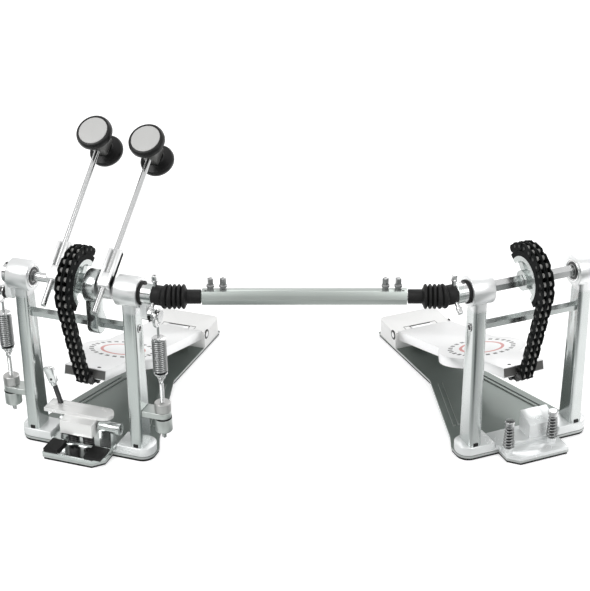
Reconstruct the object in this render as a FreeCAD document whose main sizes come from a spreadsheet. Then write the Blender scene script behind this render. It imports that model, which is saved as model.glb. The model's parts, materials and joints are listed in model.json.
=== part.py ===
import FreeCAD, Part
import math
import os
from types import SimpleNamespace

import Sketcher
from FreeCAD import Placement, Rotation, Vector

# Double bass drum pedal: a primary pedal with two beaters, a slave pedal, and the
# drive shaft that carries the slave footboard's stroke to the second beater.
# Each pedal has its own frame: x to its right, y towards its heel, z up, origin on
# the floor under the middle of its axle. The primary pedal's frame is the part's own.

doc = FreeCAD.newDocument("double_bass_drum_pedal")
sheet = doc.addObject("Spreadsheet::Sheet", "Sizes")

# Driving dimensions, in millimetres and degrees
driving = {
    # layout of the two pedals and the drive shaft between them
    "axle_height": 200,
    "primary_splay": 18.5,
    "slave_splay": 23.2,
    "joint_offset": 104.5,
    "shaft_span": 281.8,
    # clearances
    "run_clear": 0.05,
    "seat_gap": 0.05,
    "swing_gap": 0.5,
    # rubber pad, base plate and its ribs
    "pad_thick": 3,
    "pad_inset": 1,
    "plate_thick": 2.5,
    "plate_front": -15,
    "plate_half_front": 80,
    "plate_shoulder_back": 10,
    "plate_half_shoulder": 71,
    "plate_taper_start": 30,
    "plate_half_waist": 35,
    "plate_waist_at": 150,
    "plate_half_heel": 39,
    "rib_width": 3,
    "rib_rise": 1.5,
    "rib_start": 48,
    "rib_end": 138,
    "rib_inset": 8,
    "rib_pitch": 6,
    # cross foot that carries the posts
    "foot_height": 10.5,
    "foot_end_round": 14,
    "foot_recess_half": 40,
    "foot_recess_floor": 3.5,
    # posts with their bearing housings
    "post_at": 63,
    "post_thick": 15,
    "post_foot_deep": 26,
    "post_top_deep": 20,
    "post_round": 4,
    "post_overlap": 6.5,
    "housing_radius": 16.5,
    "housing_length": 25,
    "bearing_radius": 11,
    "bearing_width": 7,
    # crossbar and its screws
    "crossbar_gap": 5.7,
    "crossbar_radius": 5.6,
    "screw_radius": 3,
    "screw_head_radius": 4.5,
    "screw_head_length": 3,
    "screw_depth": 12,
    # axles, spring levers and their rollers
    "axle_radius": 5,
    "axle_end": 86,
    "axle_gap": 0.6,
    "lever_at": 76,
    "lever_thick": 7,
    "lever_width": 12,
    "lever_reach": 24,
    "collar_radius": 11,
    "roller_groove": 4.5,
    "roller_flange": 6.5,
    "roller_flange_thick": 4.8,
    "roller_length": 13,
    # chain, cam and cam band
    "chain_pitch": 9.525,
    "link_turn": 15,
    "chain_lean": 14.55,
    "run_links": 11,
    "chain_roller": 2.6,
    "chain_roller_width": 3.5,
    "link_plate": 1,
    "link_gap": 0.15,
    "link_half_height": 4.1,
    "chain_pin": 1.6,
    "rivet_rise": 0.4,
    "chain_sides": 12,
    "plate_chamfer": 0.45,
    "cam_at": 3.5,
    "cam_half_width": 7,
    "cam_sector_start": 36,
    "cam_sector": 184,
    "band_outer": 31.7,
    "band_inner": 26,
    "rim_inner": 21,
    "cam_hub_radius": 11,
    "cam_hub_length": 16,
    "spoke_width": 8,
    "spoke_root": 2,
    "spoke_thick": 5,
    # centre bracket on the primary pedal
    "bracket_from": 15,
    "bracket_to": 29,
    "bracket_ring": 18,
    "bracket_front": -12,
    "bracket_back": 8,
    "bracket_below_bar": 12,
    "bracket_screw_radius": 3.2,
    "bracket_screw_over_bar": 11,
    # beaters
    "primary_beater_at": -21,
    "slave_beater_at": 38,
    "primary_lean": 50.3,
    "slave_lean": 52.8,
    "rod_radius": 4,
    "rod_offset": 12,
    "rod_below": 36,
    "head_at": 162,
    "rod_seat": 6,
    "hub_half_width": 7.5,
    "hub_collar_radius": 12,
    "hub_above": 40,
    "hub_below": 9,
    "hub_half_depth": 7,
    "hub_key_at": 27,
    "hub_key_radius": 3,
    "hub_key_length": 10,
    "head_radius": 20,
    "face_radius": 16.5,
    "head_back_radius": 19,
    "head_dish": 12,
    "head_half_length": 25,
    "head_rim": 9,
    "head_edge": 2,
    "head_dish_depth": 3,
    "neck_radius": 9,
    "neck_half": 11,
    # springs, their shackles and tension adjusters
    "spring_at": 92,
    "spring_radius": 6.8,
    "spring_wire": 1.1,
    "spring_turns": 13,
    "spring_sides": 10,
    "spring_drop": 28,
    "spring_length": 39,
    "eye_drop": 9,
    "hook_radius": 4.2,
    "hook_wire": 1.2,
    "eye_plate_radius": 5,
    "eye_hole": 2.6,
    "eye_plate_thick": 3,
    "shackle_radius": 9,
    "shackle_wire": 1.5,
    "shackle_gap": 0.3,
    "shackle_cap_radius": 6,
    "shackle_cap": 2,
    "thread_radius": 2.5,
    "thread_below_bracket": 26,
    "nut_radius": 9,
    "nut_thick": 11,
    "barrel_radius": 9.5,
    "barrel_length": 17,
    "tension_bracket_drop": 4,
    "tension_bracket_thick": 7,
    "tension_bracket_half": 9,
    # footboard, heel plate and hinge
    "hinge_height": 22,
    "hinge_pin_radius": 3,
    "knuckle_radius": 5.7,
    "knuckle_half": 14,
    "toe_behind_chain": 5.7983,
    "toe_above_chain": 5.5626,
    "board_length": 255,
    "board_thick": 11.5,
    "board_skin": 3.5,
    "board_wall": 3,
    "toe_half": 22.5,
    "toe_length": 60,
    "toe_slot_half": 10.5,
    "toe_slot_length": 30,
    "lobe_radius": 50,
    "lobe_from_toe": 98,
    "board_heel_half": 36,
    "board_heel_from_hinge": 118,
    "neck_root": 2,
    "neck_step": 1,
    "board_heel_gap": 9.5,
    "clip_bend": 21,
    "clip_reach": 1.5,
    "ear_rise": 7.5,
    "ear_thick": 2,
    "ear_gap": 0.3,
    "heel_half": 39,
    "heel_before_hinge": 7,
    "heel_behind_hinge": 42,
    "heel_top": 26,
    "heel_skin": 4,
    "heel_wall": 6,
    "heel_notch_gap": 7,
    "heel_round": 8,
    # front plates of both pedals
    "front_half": 35.4,
    "front_edge": -44,
    "front_corner": 11,
    "front_thick": 4,
    "tongue_front": -19,
    "tongue_back": 12,
    "tongue_half": 38,
    "tongue_thick": 3,
    # hoop clamp
    "grip_thick": 3.5,
    "grip_left_from": -35,
    "grip_left_to": -18,
    "grip_right_from": 14,
    "grip_right_to": 34,
    "grip_front": -42,
    "grip_back": -20,
    "pivot_at": -12,
    "pivot_height": 35,
    "pivot_pin_radius": 2.5,
    "pivot_barrel": 6.5,
    "tower_half_depth": 6,
    "tower_right_from": 22,
    "tower_right_to": 36,
    "barrel_from": 20.5,
    "barrel_to": 46,
    "tower_left_from": -26,
    "tower_left_to": -22.5,
    "jaw_from": -20,
    "jaw_to": 18,
    "jaw_front": -27,
    "jaw_back": 2,
    "jaw_bottom": 27,
    "arm_bottom": 42.2,
    "arm_thick": 4.4,
    "arm_from": -46,
    "arm_to": 33,
    "arm_front": -14,
    "arm_back": 7.5,
    "clamp_screw_at": 2,
    "clamp_screw_foot": -25,
    "clamp_screw_tilt": 14.5,
    "clamp_screw_radius": 3,
    "clamp_screw_length": 76,
    "clamp_head_radius": 8,
    "clamp_head_tall": 18,
    "clamp_head_thick": 6,
    # anchor plate and spurs of the slave pedal
    "spur_radius": 3,
    "spur_inner_at": 30,
    "spur_outer_at": -24,
    "spur_at": -26,
    "spur_tip": 0.5,
    "spur_top": 48,
    "spur_head_radius": 5.7,
    "spur_head": 8,
    "spur_boss_radius": 5.2,
    "spur_boss": 5,
    "anchor_block_from": -24,
    "anchor_block_to": -2,
    "anchor_block_front": -16,
    "anchor_block_back": 6,
    "anchor_block_low": 28,
    "anchor_block_high": 36,
    # drive shaft, universal joints and boots
    "tube_radius": 8.6,
    "tube_margin": 36,
    "tube_bore_depth": 110,
    "shaft_rod_radius": 5,
    "shaft_rod_in_tube": 60,
    "yoke_flange": 8,
    "yoke_flange_thick": 4,
    "yoke_flange_at": 10,
    "yoke_ear_inner": 4.5,
    "yoke_ear_thick": 3,
    "yoke_ear_half": 3.4,
    "yoke_ear_end": 3.4,
    "cross_pin_radius": 2,
    "cross_pin_half": 7,
    "cross_half": 4.2,
    "cross_play": 0.45,
    "cuff_from": 84.5,
    "cuff_to": 100,
    "cuff_outer": 10.6,
    "cuff_inner": 9.2,
    "bellows_to": 20,
    "bellows_inner": 9.7,
    "bellows_outer": 13,
    "bellows_valley": 11,
    "bellows_ridges": 5,
    "boot_wall": 1.4,
    "boot_sides": 20,
    "sleeve_to": 35,
    "sleeve_outer": 7.5,
    "sleeve_inner": 5.6,
    "key_radius": 2.5,
    "key_tall": 8,
    "key_head_radius": 3.5,
    "key_head": 3,
    "key_spacing": 13,
    "key_from_end": 9,
}
for row, (alias, amount) in enumerate(driving.items(), start=1):
    sheet.set(f"A{row}", alias)
    sheet.set(f"B{row}", str(amount))
    sheet.setAlias(f"B{row}", alias)
doc.recompute()


# A size knows its value and the sheet expression that it comes from
class Size:
    def __init__(self, value, text):
        self.value = value
        self.text = text

    def __float__(self):
        return float(self.value)

    def combine(self, other, sign, value):
        other_text = other.text if isinstance(other, Size) else repr(float(other))
        return Size(value, f"({self.text} {sign} {other_text})")

    def __add__(self, other):
        return self.combine(other, "+", self.value + float(other))

    def __sub__(self, other):
        return self.combine(other, "-", self.value - float(other))

    def __mul__(self, other):
        return self.combine(other, "*", self.value * float(other))

    def __truediv__(self, other):
        return self.combine(other, "/", self.value / float(other))

    def __neg__(self):
        return Size(-self.value, f"(-1 * {self.text})")


# Functions of sizes; angles are in degrees
def sine(angle):
    return Size(math.sin(math.radians(float(angle))), f"sin({angle.text} * 1 deg)")


def cosine(angle):
    return Size(math.cos(math.radians(float(angle))), f"cos({angle.text} * 1 deg)")


def root(size):
    return Size(math.sqrt(float(size)), f"sqrt({size.text})")


s = SimpleNamespace(**{name: Size(float(sheet.get(name)), f"Sizes.{name}") for name in driving})
right = Vector(1, 0, 0)
back = Vector(0, 1, 0)
up = Vector(0, 0, 1)
nodes = {}


# Small tools for objects whose sizes are bound to the sheet
def bind(obj, **sizes):
    for prop, size in sizes.items():
        if isinstance(size, Size):
            obj.setExpression(prop, size.text)
        else:
            setattr(obj, prop, size)
    return obj


def point(x, y, z):
    return Vector(float(x), float(y), float(z))


def cylinder(name, radius, length, start, direction=up):
    obj = bind(doc.addObject("Part::Cylinder", name), Radius=radius, Height=length)
    obj.Placement = Placement(point(*start), Rotation(up, direction))
    return obj


def box(name, low, high):
    obj = doc.addObject("Part::Box", name)
    bind(obj, Length=high[0] - low[0], Width=high[1] - low[1], Height=high[2] - low[2])
    obj.Placement = Placement(point(*low), Rotation())
    return obj


def hexagon(name, radius, length, start, direction):
    obj = doc.addObject("Part::Prism", name)
    bind(obj, Polygon=6, Circumradius=radius, Height=length)
    obj.Placement = Placement(point(*start), Rotation(up, direction))
    return obj


# A ring of wire with an eight-sided section
def ring(name, radius, wire, centre, direction):
    angles = [math.radians(22.5 + 45 * i) for i in range(8)]
    profile = [(radius + wire * math.cos(a), wire * math.sin(a)) for a in angles]
    return turned(name, profile, centre, direction)


def fuse(name, shapes):
    obj = doc.addObject("Part::MultiFuse", name)
    obj.Shapes = shapes
    obj.Refine = True
    return obj


def cut(name, base, tools):
    obj = doc.addObject("Part::Cut", name)
    obj.Base = base
    obj.Tool = tools[0] if len(tools) == 1 else fuse(name + "_tools", tools)
    return obj


def group(name, shapes):
    obj = doc.addObject("Part::Compound", name)
    obj.Links = shapes
    return obj


def sketch_on(body, role, name, lift=None):
    sketch = body.newObject("Sketcher::SketchObject", name)
    plane = next(f for f in body.Origin.OriginFeatures if f.Role == role)
    sketch.AttachmentSupport = (plane, [""])
    sketch.MapMode = "FlatFace"
    if lift is not None:
        sketch.setExpression("AttachmentOffset.Base.z", lift.text)
    return sketch


def hold_point(sketch, geo, pos, place):
    for kind, axis, amount in (("DistanceX", -2, place[0]), ("DistanceY", -1, place[1])):
        if abs(float(amount)) < 1e-9:
            sketch.addConstraint(Sketcher.Constraint("PointOnObject", geo, pos, axis))
            continue
        if float(amount) > 0:
            rule = Sketcher.Constraint(kind, -1, 1, geo, pos, float(amount))
        else:
            rule = Sketcher.Constraint(kind, geo, pos, -1, 1, -float(amount))
            amount = -amount
        index = sketch.addConstraint(rule)
        if isinstance(amount, Size):
            sketch.setExpression(f"Constraints[{index}]", amount.text)


def draw_outline(sketch, places):
    first = sketch.GeometryCount
    count = len(places)
    for i in range(count):
        ends = [point(p[0], p[1], 0) for p in (places[i], places[(i + 1) % count])]
        sketch.addGeometry(Part.LineSegment(*ends), False)
    for i in range(count):
        after = first + (i + 1) % count
        sketch.addConstraint(Sketcher.Constraint("Coincident", first + i, 2, after, 1))
        hold_point(sketch, first + i, 1, places[i])


def draw_circle(sketch, centre, radius):
    geo = sketch.addGeometry(Part.Circle(point(*centre, 0), up, float(radius)), False)
    hold_point(sketch, geo, 3, centre)
    index = sketch.addConstraint(Sketcher.Constraint("Radius", geo, float(radius)))
    sketch.setExpression(f"Constraints[{index}]", radius.text)


def mirrored(half):
    return half + [(-x, y) for x, y in reversed(half)]


def rectangle(left, right_side, front, rear):
    return [(left, front), (right_side, front), (right_side, rear), (left, rear)]


def padded(body, name, outlines, length, lift=None, role="XY_Plane", centred=False):
    sketch = sketch_on(body, role, name + "_sketch", lift)
    for outline in outlines:
        draw_outline(sketch, outline)
    pad = body.newObject("PartDesign::Pad", name)
    pad.Profile = sketch
    pad.Midplane = centred
    bind(pad, Length=length)
    return pad


def padded_disc(body, name, centre, radius, length, lift):
    sketch = sketch_on(body, "XY_Plane", name + "_sketch", lift)
    draw_circle(sketch, centre, radius)
    pad = body.newObject("PartDesign::Pad", name)
    pad.Profile = sketch
    bind(pad, Length=length)
    return pad


# A pocket cut upwards from the height given by lift
def hollowed(body, name, draw, depth, lift):
    sketch = sketch_on(body, "XY_Plane", name + "_sketch", lift)
    draw(sketch)
    pocket = body.newObject("PartDesign::Pocket", name)
    pocket.Profile = sketch
    pocket.Reversed = True
    bind(pocket, Length=depth)
    return pocket


def rounded(body, feature, radius, wanted):
    doc.recompute()
    edges = [f"Edge{i}" for i, e in enumerate(feature.Shape.Edges, start=1) if wanted(e)]
    fillet = body.newObject("PartDesign::Fillet", feature.Name + "_round")
    fillet.Base = (feature, edges)
    bind(fillet, Radius=radius)
    return fillet


def upright(edge):
    return edge.BoundBox.XLength < 1e-6 and edge.BoundBox.YLength < 1e-6


def turned(name, profile, start, direction):
    body = doc.addObject("PartDesign::Body", name)
    sketch = sketch_on(body, "XZ_Plane", name + "_profile")
    draw_outline(sketch, profile)
    spin = body.newObject("PartDesign::Revolution", name + "_turn")
    spin.Profile = sketch
    spin.ReferenceAxis = (sketch, ["V_Axis"])
    spin.Angle = 360
    body.Placement = Placement(point(*start), Rotation(up, direction))
    return body


def tube(name, outer, inner, length, start, direction):
    profile = [(inner, length * 0), (outer, length * 0), (outer, length), (inner, length)]
    return turned(name, profile, start, direction)


def keep(name, obj, frame):
    obj.Label = name
    obj.Placement = frame.multiply(obj.Placement)
    nodes[name] = obj


# The pedals' frames; hand is +1 where the drive shaft is on the pedal's right
def place_pedals():
    shaft_turn = math.radians(float(s.primary_splay))
    slave_turn = float(s.primary_splay) + float(s.slave_splay)
    reach = float(s.joint_offset)
    along = Vector(math.cos(shaft_turn), math.sin(shaft_turn), 0)
    joint_p = Vector(reach, 0, float(s.axle_height))
    joint_s = joint_p + along * float(s.shaft_span)
    outward = Vector(math.cos(math.radians(slave_turn)), math.sin(math.radians(slave_turn)), 0)
    centre = joint_s + outward * reach
    slave_frame = Placement(Vector(centre.x, centre.y, 0), Rotation(up, slave_turn))
    first = SimpleNamespace(name="primary", hand=1, frame=Placement())
    second = SimpleNamespace(name="slave", hand=-1, frame=slave_frame)
    shaft = SimpleNamespace(
        start=Placement(joint_p, Rotation(up, float(s.primary_splay))),
        end=Placement(joint_s, Rotation(up, float(s.primary_splay) + 180)))
    return first, second, shaft


primary, slave, shaft = place_pedals()

# Heights and stations that follow from the driving sizes
plate_top = s.pad_thick + s.plate_thick
foot_top = plate_top + s.foot_height
recess_top = plate_top + s.foot_recess_floor
front_top = plate_top + s.front_thick
tongue_top = recess_top + s.tongue_thick
housing_near = s.post_at - s.housing_length / 2
housing_far = s.post_at + s.housing_length / 2
post_inner = s.post_at - s.post_thick / 2
post_outer = s.post_at + s.post_thick / 2
lever_far = s.lever_at + s.lever_thick
lever_pin_z = s.axle_height - s.lever_reach
crossbar_z = s.axle_height - s.band_outer - s.crossbar_gap - s.crossbar_radius
bracket_foot = crossbar_z - s.bracket_below_bar
bracket_screw_z = crossbar_z + s.bracket_screw_over_bar
spring_top = lever_pin_z - s.spring_drop
spring_bottom = spring_top - s.spring_length
spring_eye = spring_bottom - s.eye_drop
tension_bracket_z = (foot_top + spring_eye) / 2 - s.tension_bracket_drop
thread_low = tension_bracket_z - s.thread_below_bracket

# The chain's straight run ends at the toe, and the footboard reaches from there to its hinge
chain_radius = s.chain_pitch / (sine(s.link_turn / 2) * 2)
run_length = s.chain_pitch * s.run_links
run_end_y = sine(s.chain_lean) * run_length - cosine(s.chain_lean) * chain_radius
run_end_z = s.axle_height - sine(s.chain_lean) * chain_radius - cosine(s.chain_lean) * run_length
board_rise = run_end_z - s.hinge_height
board_reach = s.board_length + s.toe_behind_chain
hinge_span = root(board_reach * board_reach + s.toe_above_chain * s.toe_above_chain)
hinge_y = run_end_y + root(hinge_span * hinge_span - board_rise * board_rise)
board_tilt = math.degrees(math.asin(float(board_rise) / float(hinge_span))
                          + math.atan2(float(s.toe_above_chain), float(board_reach)))
heel_front = hinge_y - s.heel_before_hinge
heel_back = hinge_y + s.heel_behind_hinge
lobe_from_hinge = s.board_length - s.lobe_from_toe


# A bar along the axle between two stations counted towards the drive shaft
def along_axle(name, pedal, radius, near, far, y=0, z=s.axle_height, make=cylinder):
    start = near if pedal.hand > 0 else -far
    return make(name, radius, far - near, (start, y, z), right)


# Base plate, rubber pad and cross foot
def plate_outline(pedal, inset):
    half, front = s.front_half - inset, s.front_edge + inset
    flank = [
        (half, s.plate_front + inset),
        (s.plate_half_front - inset, s.plate_front + inset),
        (s.plate_half_front - inset, s.plate_shoulder_back),
        (s.plate_half_shoulder - inset, s.plate_taper_start),
        (s.plate_half_waist - inset, s.plate_waist_at),
        (s.plate_half_heel - inset, heel_back - inset)]
    plan = [(half - s.front_corner, front), (half, front + s.front_corner)] + mirrored(flank) + [(-half, front)]
    return plan if pedal.hand > 0 else [(-x, y) for x, y in reversed(plan)]


# The two front corners over the ends of the foot, found by their place
def at_front_corner(edge):
    reach = max(abs(edge.BoundBox.XMin), abs(edge.BoundBox.XMax))
    near_end = reach > float(s.plate_half_front - s.pad_inset * 2)
    return upright(edge) and near_end and edge.BoundBox.YMin < float(s.plate_front + s.pad_inset * 2)


def edge_half_width(y, inset):
    share = (s.plate_waist_at - y) / (s.plate_waist_at - s.plate_taper_start)
    return s.plate_half_waist + (s.plate_half_shoulder - s.plate_half_waist) * share - inset


def rib_outline(side, inset):
    low, high = s.rib_start, s.rib_end
    outer = inset + s.rib_width
    places = [(edge_half_width(low, inset), low), (edge_half_width(low, outer), low),
              (edge_half_width(high, outer), high), (edge_half_width(high, inset), high)]
    return places if side > 0 else [(-x, y) for x, y in places]


def spur_holes(name, low, high):
    return [cylinder(f"{name}_{i}", s.spur_radius + s.run_clear, high - low,
                     (slave.hand * float(x), s.spur_at, low))
            for i, x in enumerate((s.spur_inner_at, s.spur_outer_at))]


def build_base(pedal):
    name = pedal.name
    plate = doc.addObject("PartDesign::Body", name + "_plate")
    plan = plate_outline(pedal, s.pad_inset * 0)
    steel = padded(plate, name + "_sheet", [plan], s.plate_thick, s.pad_thick)
    rounded(plate, steel, s.foot_end_round, at_front_corner)
    ribs = [rib_outline(side, inset) for side in (-1, 1)
            for inset in (s.rib_inset, s.rib_inset + s.rib_pitch)]
    padded(plate, name + "_ribs", ribs, s.plate_thick + s.rib_rise, s.pad_thick)
    rubber = doc.addObject("PartDesign::Body", name + "_rubber")
    mat = padded(rubber, name + "_rubber_sheet", [plate_outline(pedal, s.pad_inset)], s.pad_thick)
    rounded(rubber, mat, s.foot_end_round - s.pad_inset, at_front_corner)
    if pedal is slave:
        plate = cut(name + "_drilled_plate", plate, spur_holes("plate_hole", s.pad_thick, plate_top))
        rubber = cut(name + "_drilled_pad", rubber, spur_holes("pad_hole", s.pad_thick * 0, s.pad_thick))
    keep(name + "_base_plate", plate, pedal.frame)
    keep(name + "_base_pad", rubber, pedal.frame)

    foot = doc.addObject("PartDesign::Body", name + "_cross_foot")
    long, deep = s.plate_half_front, -s.plate_front
    bar = padded(foot, name + "_foot_bar", [rectangle(-long, long, -deep, deep)], s.foot_height, plate_top)
    rounded(foot, bar, s.foot_end_round, upright)
    half = s.foot_recess_half
    hollowed(foot, name + "_foot_recess",
             lambda k: draw_outline(k, rectangle(-half, half, -deep * 2, deep * 2)),
             s.foot_height, recess_top)
    keep(name + "_foot", foot, pedal.frame)


# Posts: uprights with a bearing housing on top, drilled for the crossbar screws
def build_post(pedal, side):
    label = f"{pedal.name}_{'inner' if side > 0 else 'outer'}_post"
    x_side = side * pedal.hand
    body = doc.addObject("PartDesign::Body", label + "_upright")
    top = s.axle_height - s.housing_radius + s.post_overlap
    outline = [(-s.post_foot_deep / 2, foot_top), (s.post_foot_deep / 2, foot_top),
               (s.post_top_deep / 2, top), (-s.post_top_deep / 2, top)]
    web = padded(body, label + "_web", [outline], s.post_thick, None, "YZ_Plane", True)
    rounded(body, web, s.post_round, lambda e: e.BoundBox.ZLength > float(s.axle_height) / 2)
    body.Placement = Placement(point(x_side * float(s.post_at), 0, 0), Rotation())
    low = x_side * float(s.post_at) - float(s.housing_length) / 2
    spot = (low, 0, s.axle_height)
    housing = cylinder(label + "_housing", s.housing_radius, s.housing_length, spot, right)
    bore = cylinder(label + "_bore", s.bearing_radius, s.housing_length, spot, right)
    inward = Vector(-x_side, 0, 0)
    face = (x_side * float(post_outer), 0, crossbar_z)
    hole = cylinder(label + "_hole", s.screw_radius + s.seat_gap, s.post_thick, face, inward)
    sink = cylinder(label + "_sink", s.screw_head_radius + s.seat_gap,
                    s.screw_head_length + s.seat_gap, face, inward)
    solid = fuse(label + "_solid", [body, housing])
    keep(label, cut(label, solid, [bore, hole, sink]), pedal.frame)


def build_crossbar(pedal):
    name = pedal.name
    bar = hexagon(name + "_bar", s.crossbar_radius, post_inner * 2,
                  (-post_inner, 0, crossbar_z), right)
    holes = []
    for side in (-1, 1):
        holes.append(cylinder(f"{name}_bar_hole{side + 1}", s.screw_radius + s.run_clear, s.screw_depth,
                              (side * float(post_inner), 0, crossbar_z), Vector(-side, 0, 0)))
    keep(name + "_crossbar", cut(name + "_crossbar", bar, holes), pedal.frame)


def crossbar_screws(pedal):
    screws = []
    for side in (-1, 1):
        name = f"{pedal.name}_bar_screw{side + 1}"
        inward = Vector(-side, 0, 0)
        start = (side * float(post_outer), 0, crossbar_z)
        head = cylinder(name + "_head", s.screw_head_radius, s.screw_head_length, start, inward)
        stem = cylinder(name + "_stem", s.screw_radius,
                        s.post_thick + s.screw_depth - s.swing_gap, start, inward)
        screws.append(fuse(name, [head, stem]))
    return screws


# Bearing rings at both faces of each housing
def bearings(pedal):
    spans = []
    for low, high in ((housing_near, housing_far), (-housing_far, -housing_near)):
        spans += [(low, low + s.bearing_width), (high - s.bearing_width, high)]
    if pedal is primary:
        width = (s.bracket_to - s.bracket_from - s.axle_gap) / 2
        spans += [(s.bracket_from, s.bracket_from + width), (s.bracket_to - width, s.bracket_to)]
    rings = []
    for i, (low, high) in enumerate(spans):
        start = low if pedal.hand > 0 else -high
        rings.append(tube(f"{pedal.name}_bearing{i}", s.bearing_radius - s.seat_gap,
                          s.axle_radius + s.run_clear, high - low, (start, 0, s.axle_height), right))
    return rings


# Heel plate with the hinge lugs either side of the footboard's knuckle
def build_heel(pedal):
    name = pedal.name
    body = doc.addObject("PartDesign::Body", name + "_heel")
    notch = s.knuckle_half + s.swing_gap
    notch_back = hinge_y + s.heel_notch_gap
    outline = mirrored([(notch, notch_back), (notch, heel_front), (s.heel_half, heel_front),
                        (s.heel_half, heel_back)])
    block = padded(body, name + "_heel_block", [outline], s.heel_top - plate_top, plate_top)
    rounded(body, block, s.heel_round,
            lambda e: upright(e) and e.BoundBox.YMin > float(heel_back) - 0.01)
    inner = s.heel_half - s.heel_wall
    hollow = rectangle(-inner, inner, notch_back + s.heel_skin, heel_back - s.heel_wall)
    hollowed(body, name + "_heel_hollow", lambda k: draw_outline(k, hollow),
             s.heel_top - plate_top - s.heel_skin, plate_top)
    hole = cylinder(name + "_heel_hole", s.hinge_pin_radius + s.seat_gap, s.heel_half * 2,
                    (-s.heel_half, hinge_y, s.hinge_height), right)
    keep(name + "_heel_plate", cut(name + "_heel_plate", body, [hole]), pedal.frame)


def hinge_pin(pedal):
    half = s.heel_half - s.seat_gap
    return cylinder(pedal.name + "_hinge_pin", s.hinge_pin_radius, half * 2,
                    (-half, hinge_y, s.hinge_height), right)


# Chain pins in the pedal's y-z plane: pin 0 is where the run leaves the cam
def chain_pins():
    lean = math.radians(float(s.chain_lean))
    turn = math.radians(float(s.link_turn))
    pitch = float(s.chain_pitch)
    radius = pitch / 2 / math.sin(turn / 2)
    wrapped = []
    for step in range(11):
        angle = math.pi + lean - step * turn
        wrapped.append(Vector(0, radius * math.cos(angle), float(s.axle_height) + radius * math.sin(angle)))
    down = Vector(0, math.sin(lean), -math.cos(lean))
    run = [wrapped[0] + down * (pitch * i) for i in range(int(float(s.run_links)) + 1)]
    return wrapped, run


wrapped_pins, run_pins = chain_pins()


# Layers of the double chain across its width, from its middle
def chain_layers():
    plate, gap = float(s.link_plate), float(s.link_gap)
    near = plate / 2 + gap
    roller_low = near + plate
    roller_high = roller_low + float(s.chain_roller_width)
    far = roller_high + plate
    outer = far + gap
    return SimpleNamespace(
        inner=[(near, roller_low), (roller_high, far)], roller=(roller_low, roller_high),
        outer=[(-outer - plate, -outer), (-plate / 2, plate / 2), (outer, outer + plate)],
        strand=(near, far), pin_end=outer + plate + float(s.rivet_rise))


layers = chain_layers()


# A chain plate with chamfered ends between two pins
def link_plate(start, end, x_low, x_high, reach=None):
    along = (end - start).normalize()
    across = Vector(0, -along.z, along.y)
    half = float(s.link_half_height)
    slim = half * float(s.plate_chamfer)
    short = reach or half
    corners = [(start, -short, -slim), (start, -short, slim), (start, -min(slim, short), half),
               (end, slim, half), (end, half, slim), (end, half, -slim), (end, slim, -half),
               (start, -min(slim, short), -half)]
    places = [base + along * a + across * b + Vector(x_low, 0, 0) for base, a, b in corners]
    return Part.Face(Part.makePolygon(places + places[:1])).extrude(Vector(x_high - x_low, 0, 0))


def pin_solid(place, radius, low, high):
    return Part.makeCylinder(radius, high - low, place + Vector(low, 0, 0), right)


# Rollers, and rivets that turn in no bore, have flat sides so that a long chain stays light
def sided_pin(place, radius, low, high):
    sides = int(float(s.chain_sides))
    corners = []
    for i in range(sides + 1):
        angle = 2 * math.pi * i / sides
        corners.append(place + Vector(low, radius * math.cos(angle), radius * math.sin(angle)))
    return Part.Face(Part.makePolygon(corners)).extrude(Vector(high - low, 0, 0))


def outer_link(start, end, pins, reach=None, pin=pin_solid):
    pieces = [link_plate(start, end, *layer, reach) for layer in layers.outer]
    pieces += [pin(p, float(s.chain_pin), -layers.pin_end, layers.pin_end) for p in pins]
    return pieces[0].fuse(pieces[1:])


# The two strands of an inner link, bored where a pin of another body turns in it
def inner_link(start, end, bored):
    strands = []
    for side in (-1, 1):
        spans = [sorted((side * a, side * b)) for a, b in layers.inner]
        roller = sorted(side * a for a in layers.roller)
        strand = sorted(side * a for a in layers.strand)
        pieces = [link_plate(start, end, *span) for span in spans]
        pieces += [sided_pin(p, float(s.chain_roller), *roller) for p in (start, end)]
        shape = pieces[0].fuse(pieces[1:])
        for p in bored:
            shape = shape.cut(pin_solid(p, float(s.chain_pin) + float(s.run_clear), *strand))
        strands.append(shape)
    return strands


# A stretch of chain that keeps its shape, starting with an inner link
def stiff_chain(pins, free_pin):
    pieces = []
    for i in range(len(pins) - 1):
        start, end = pins[i], pins[i + 1]
        if i % 2:
            pieces.append(outer_link(start, end, [start, end], pin=sided_pin))
        else:
            pieces += inner_link(start, end, [p for p in (start, end) if p is free_pin])
    return pieces[0].fuse(pieces[1:]).removeSplitter()


def chain_feature(name, pedal, shape):
    obj = doc.addObject("Part::Feature", name)
    obj.Shape = shape
    obj.Placement = Placement(point(pedal.hand * float(s.cam_at), 0, 0), Rotation())
    return obj


def build_chain(pedal):
    name = pedal.name
    wrap = chain_feature(name + "_wrap_links", pedal, stiff_chain(wrapped_pins[3:], wrapped_pins[3]))
    band = cam_sector(name + "_band", pedal, s.band_outer, s.band_inner)
    keep(name + "_chain_wrap", group(name + "_chain_wrap", [wrap, band]), pedal.frame)
    for number in (1, 2, 3):
        start, end = wrapped_pins[4 - number], wrapped_pins[3 - number]
        if number == 2:
            shape = Part.makeCompound(inner_link(start, end, [start, end]))
        else:
            shape = outer_link(start, end, [start, end])
        label = f"{name}_chain_link_{number}"
        keep(label, chain_feature(label, pedal, shape), pedal.frame)
    run = chain_feature(name + "_chain_run", pedal, stiff_chain(run_pins, run_pins[0]))
    keep(name + "_chain_run", run, pedal.frame)


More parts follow.
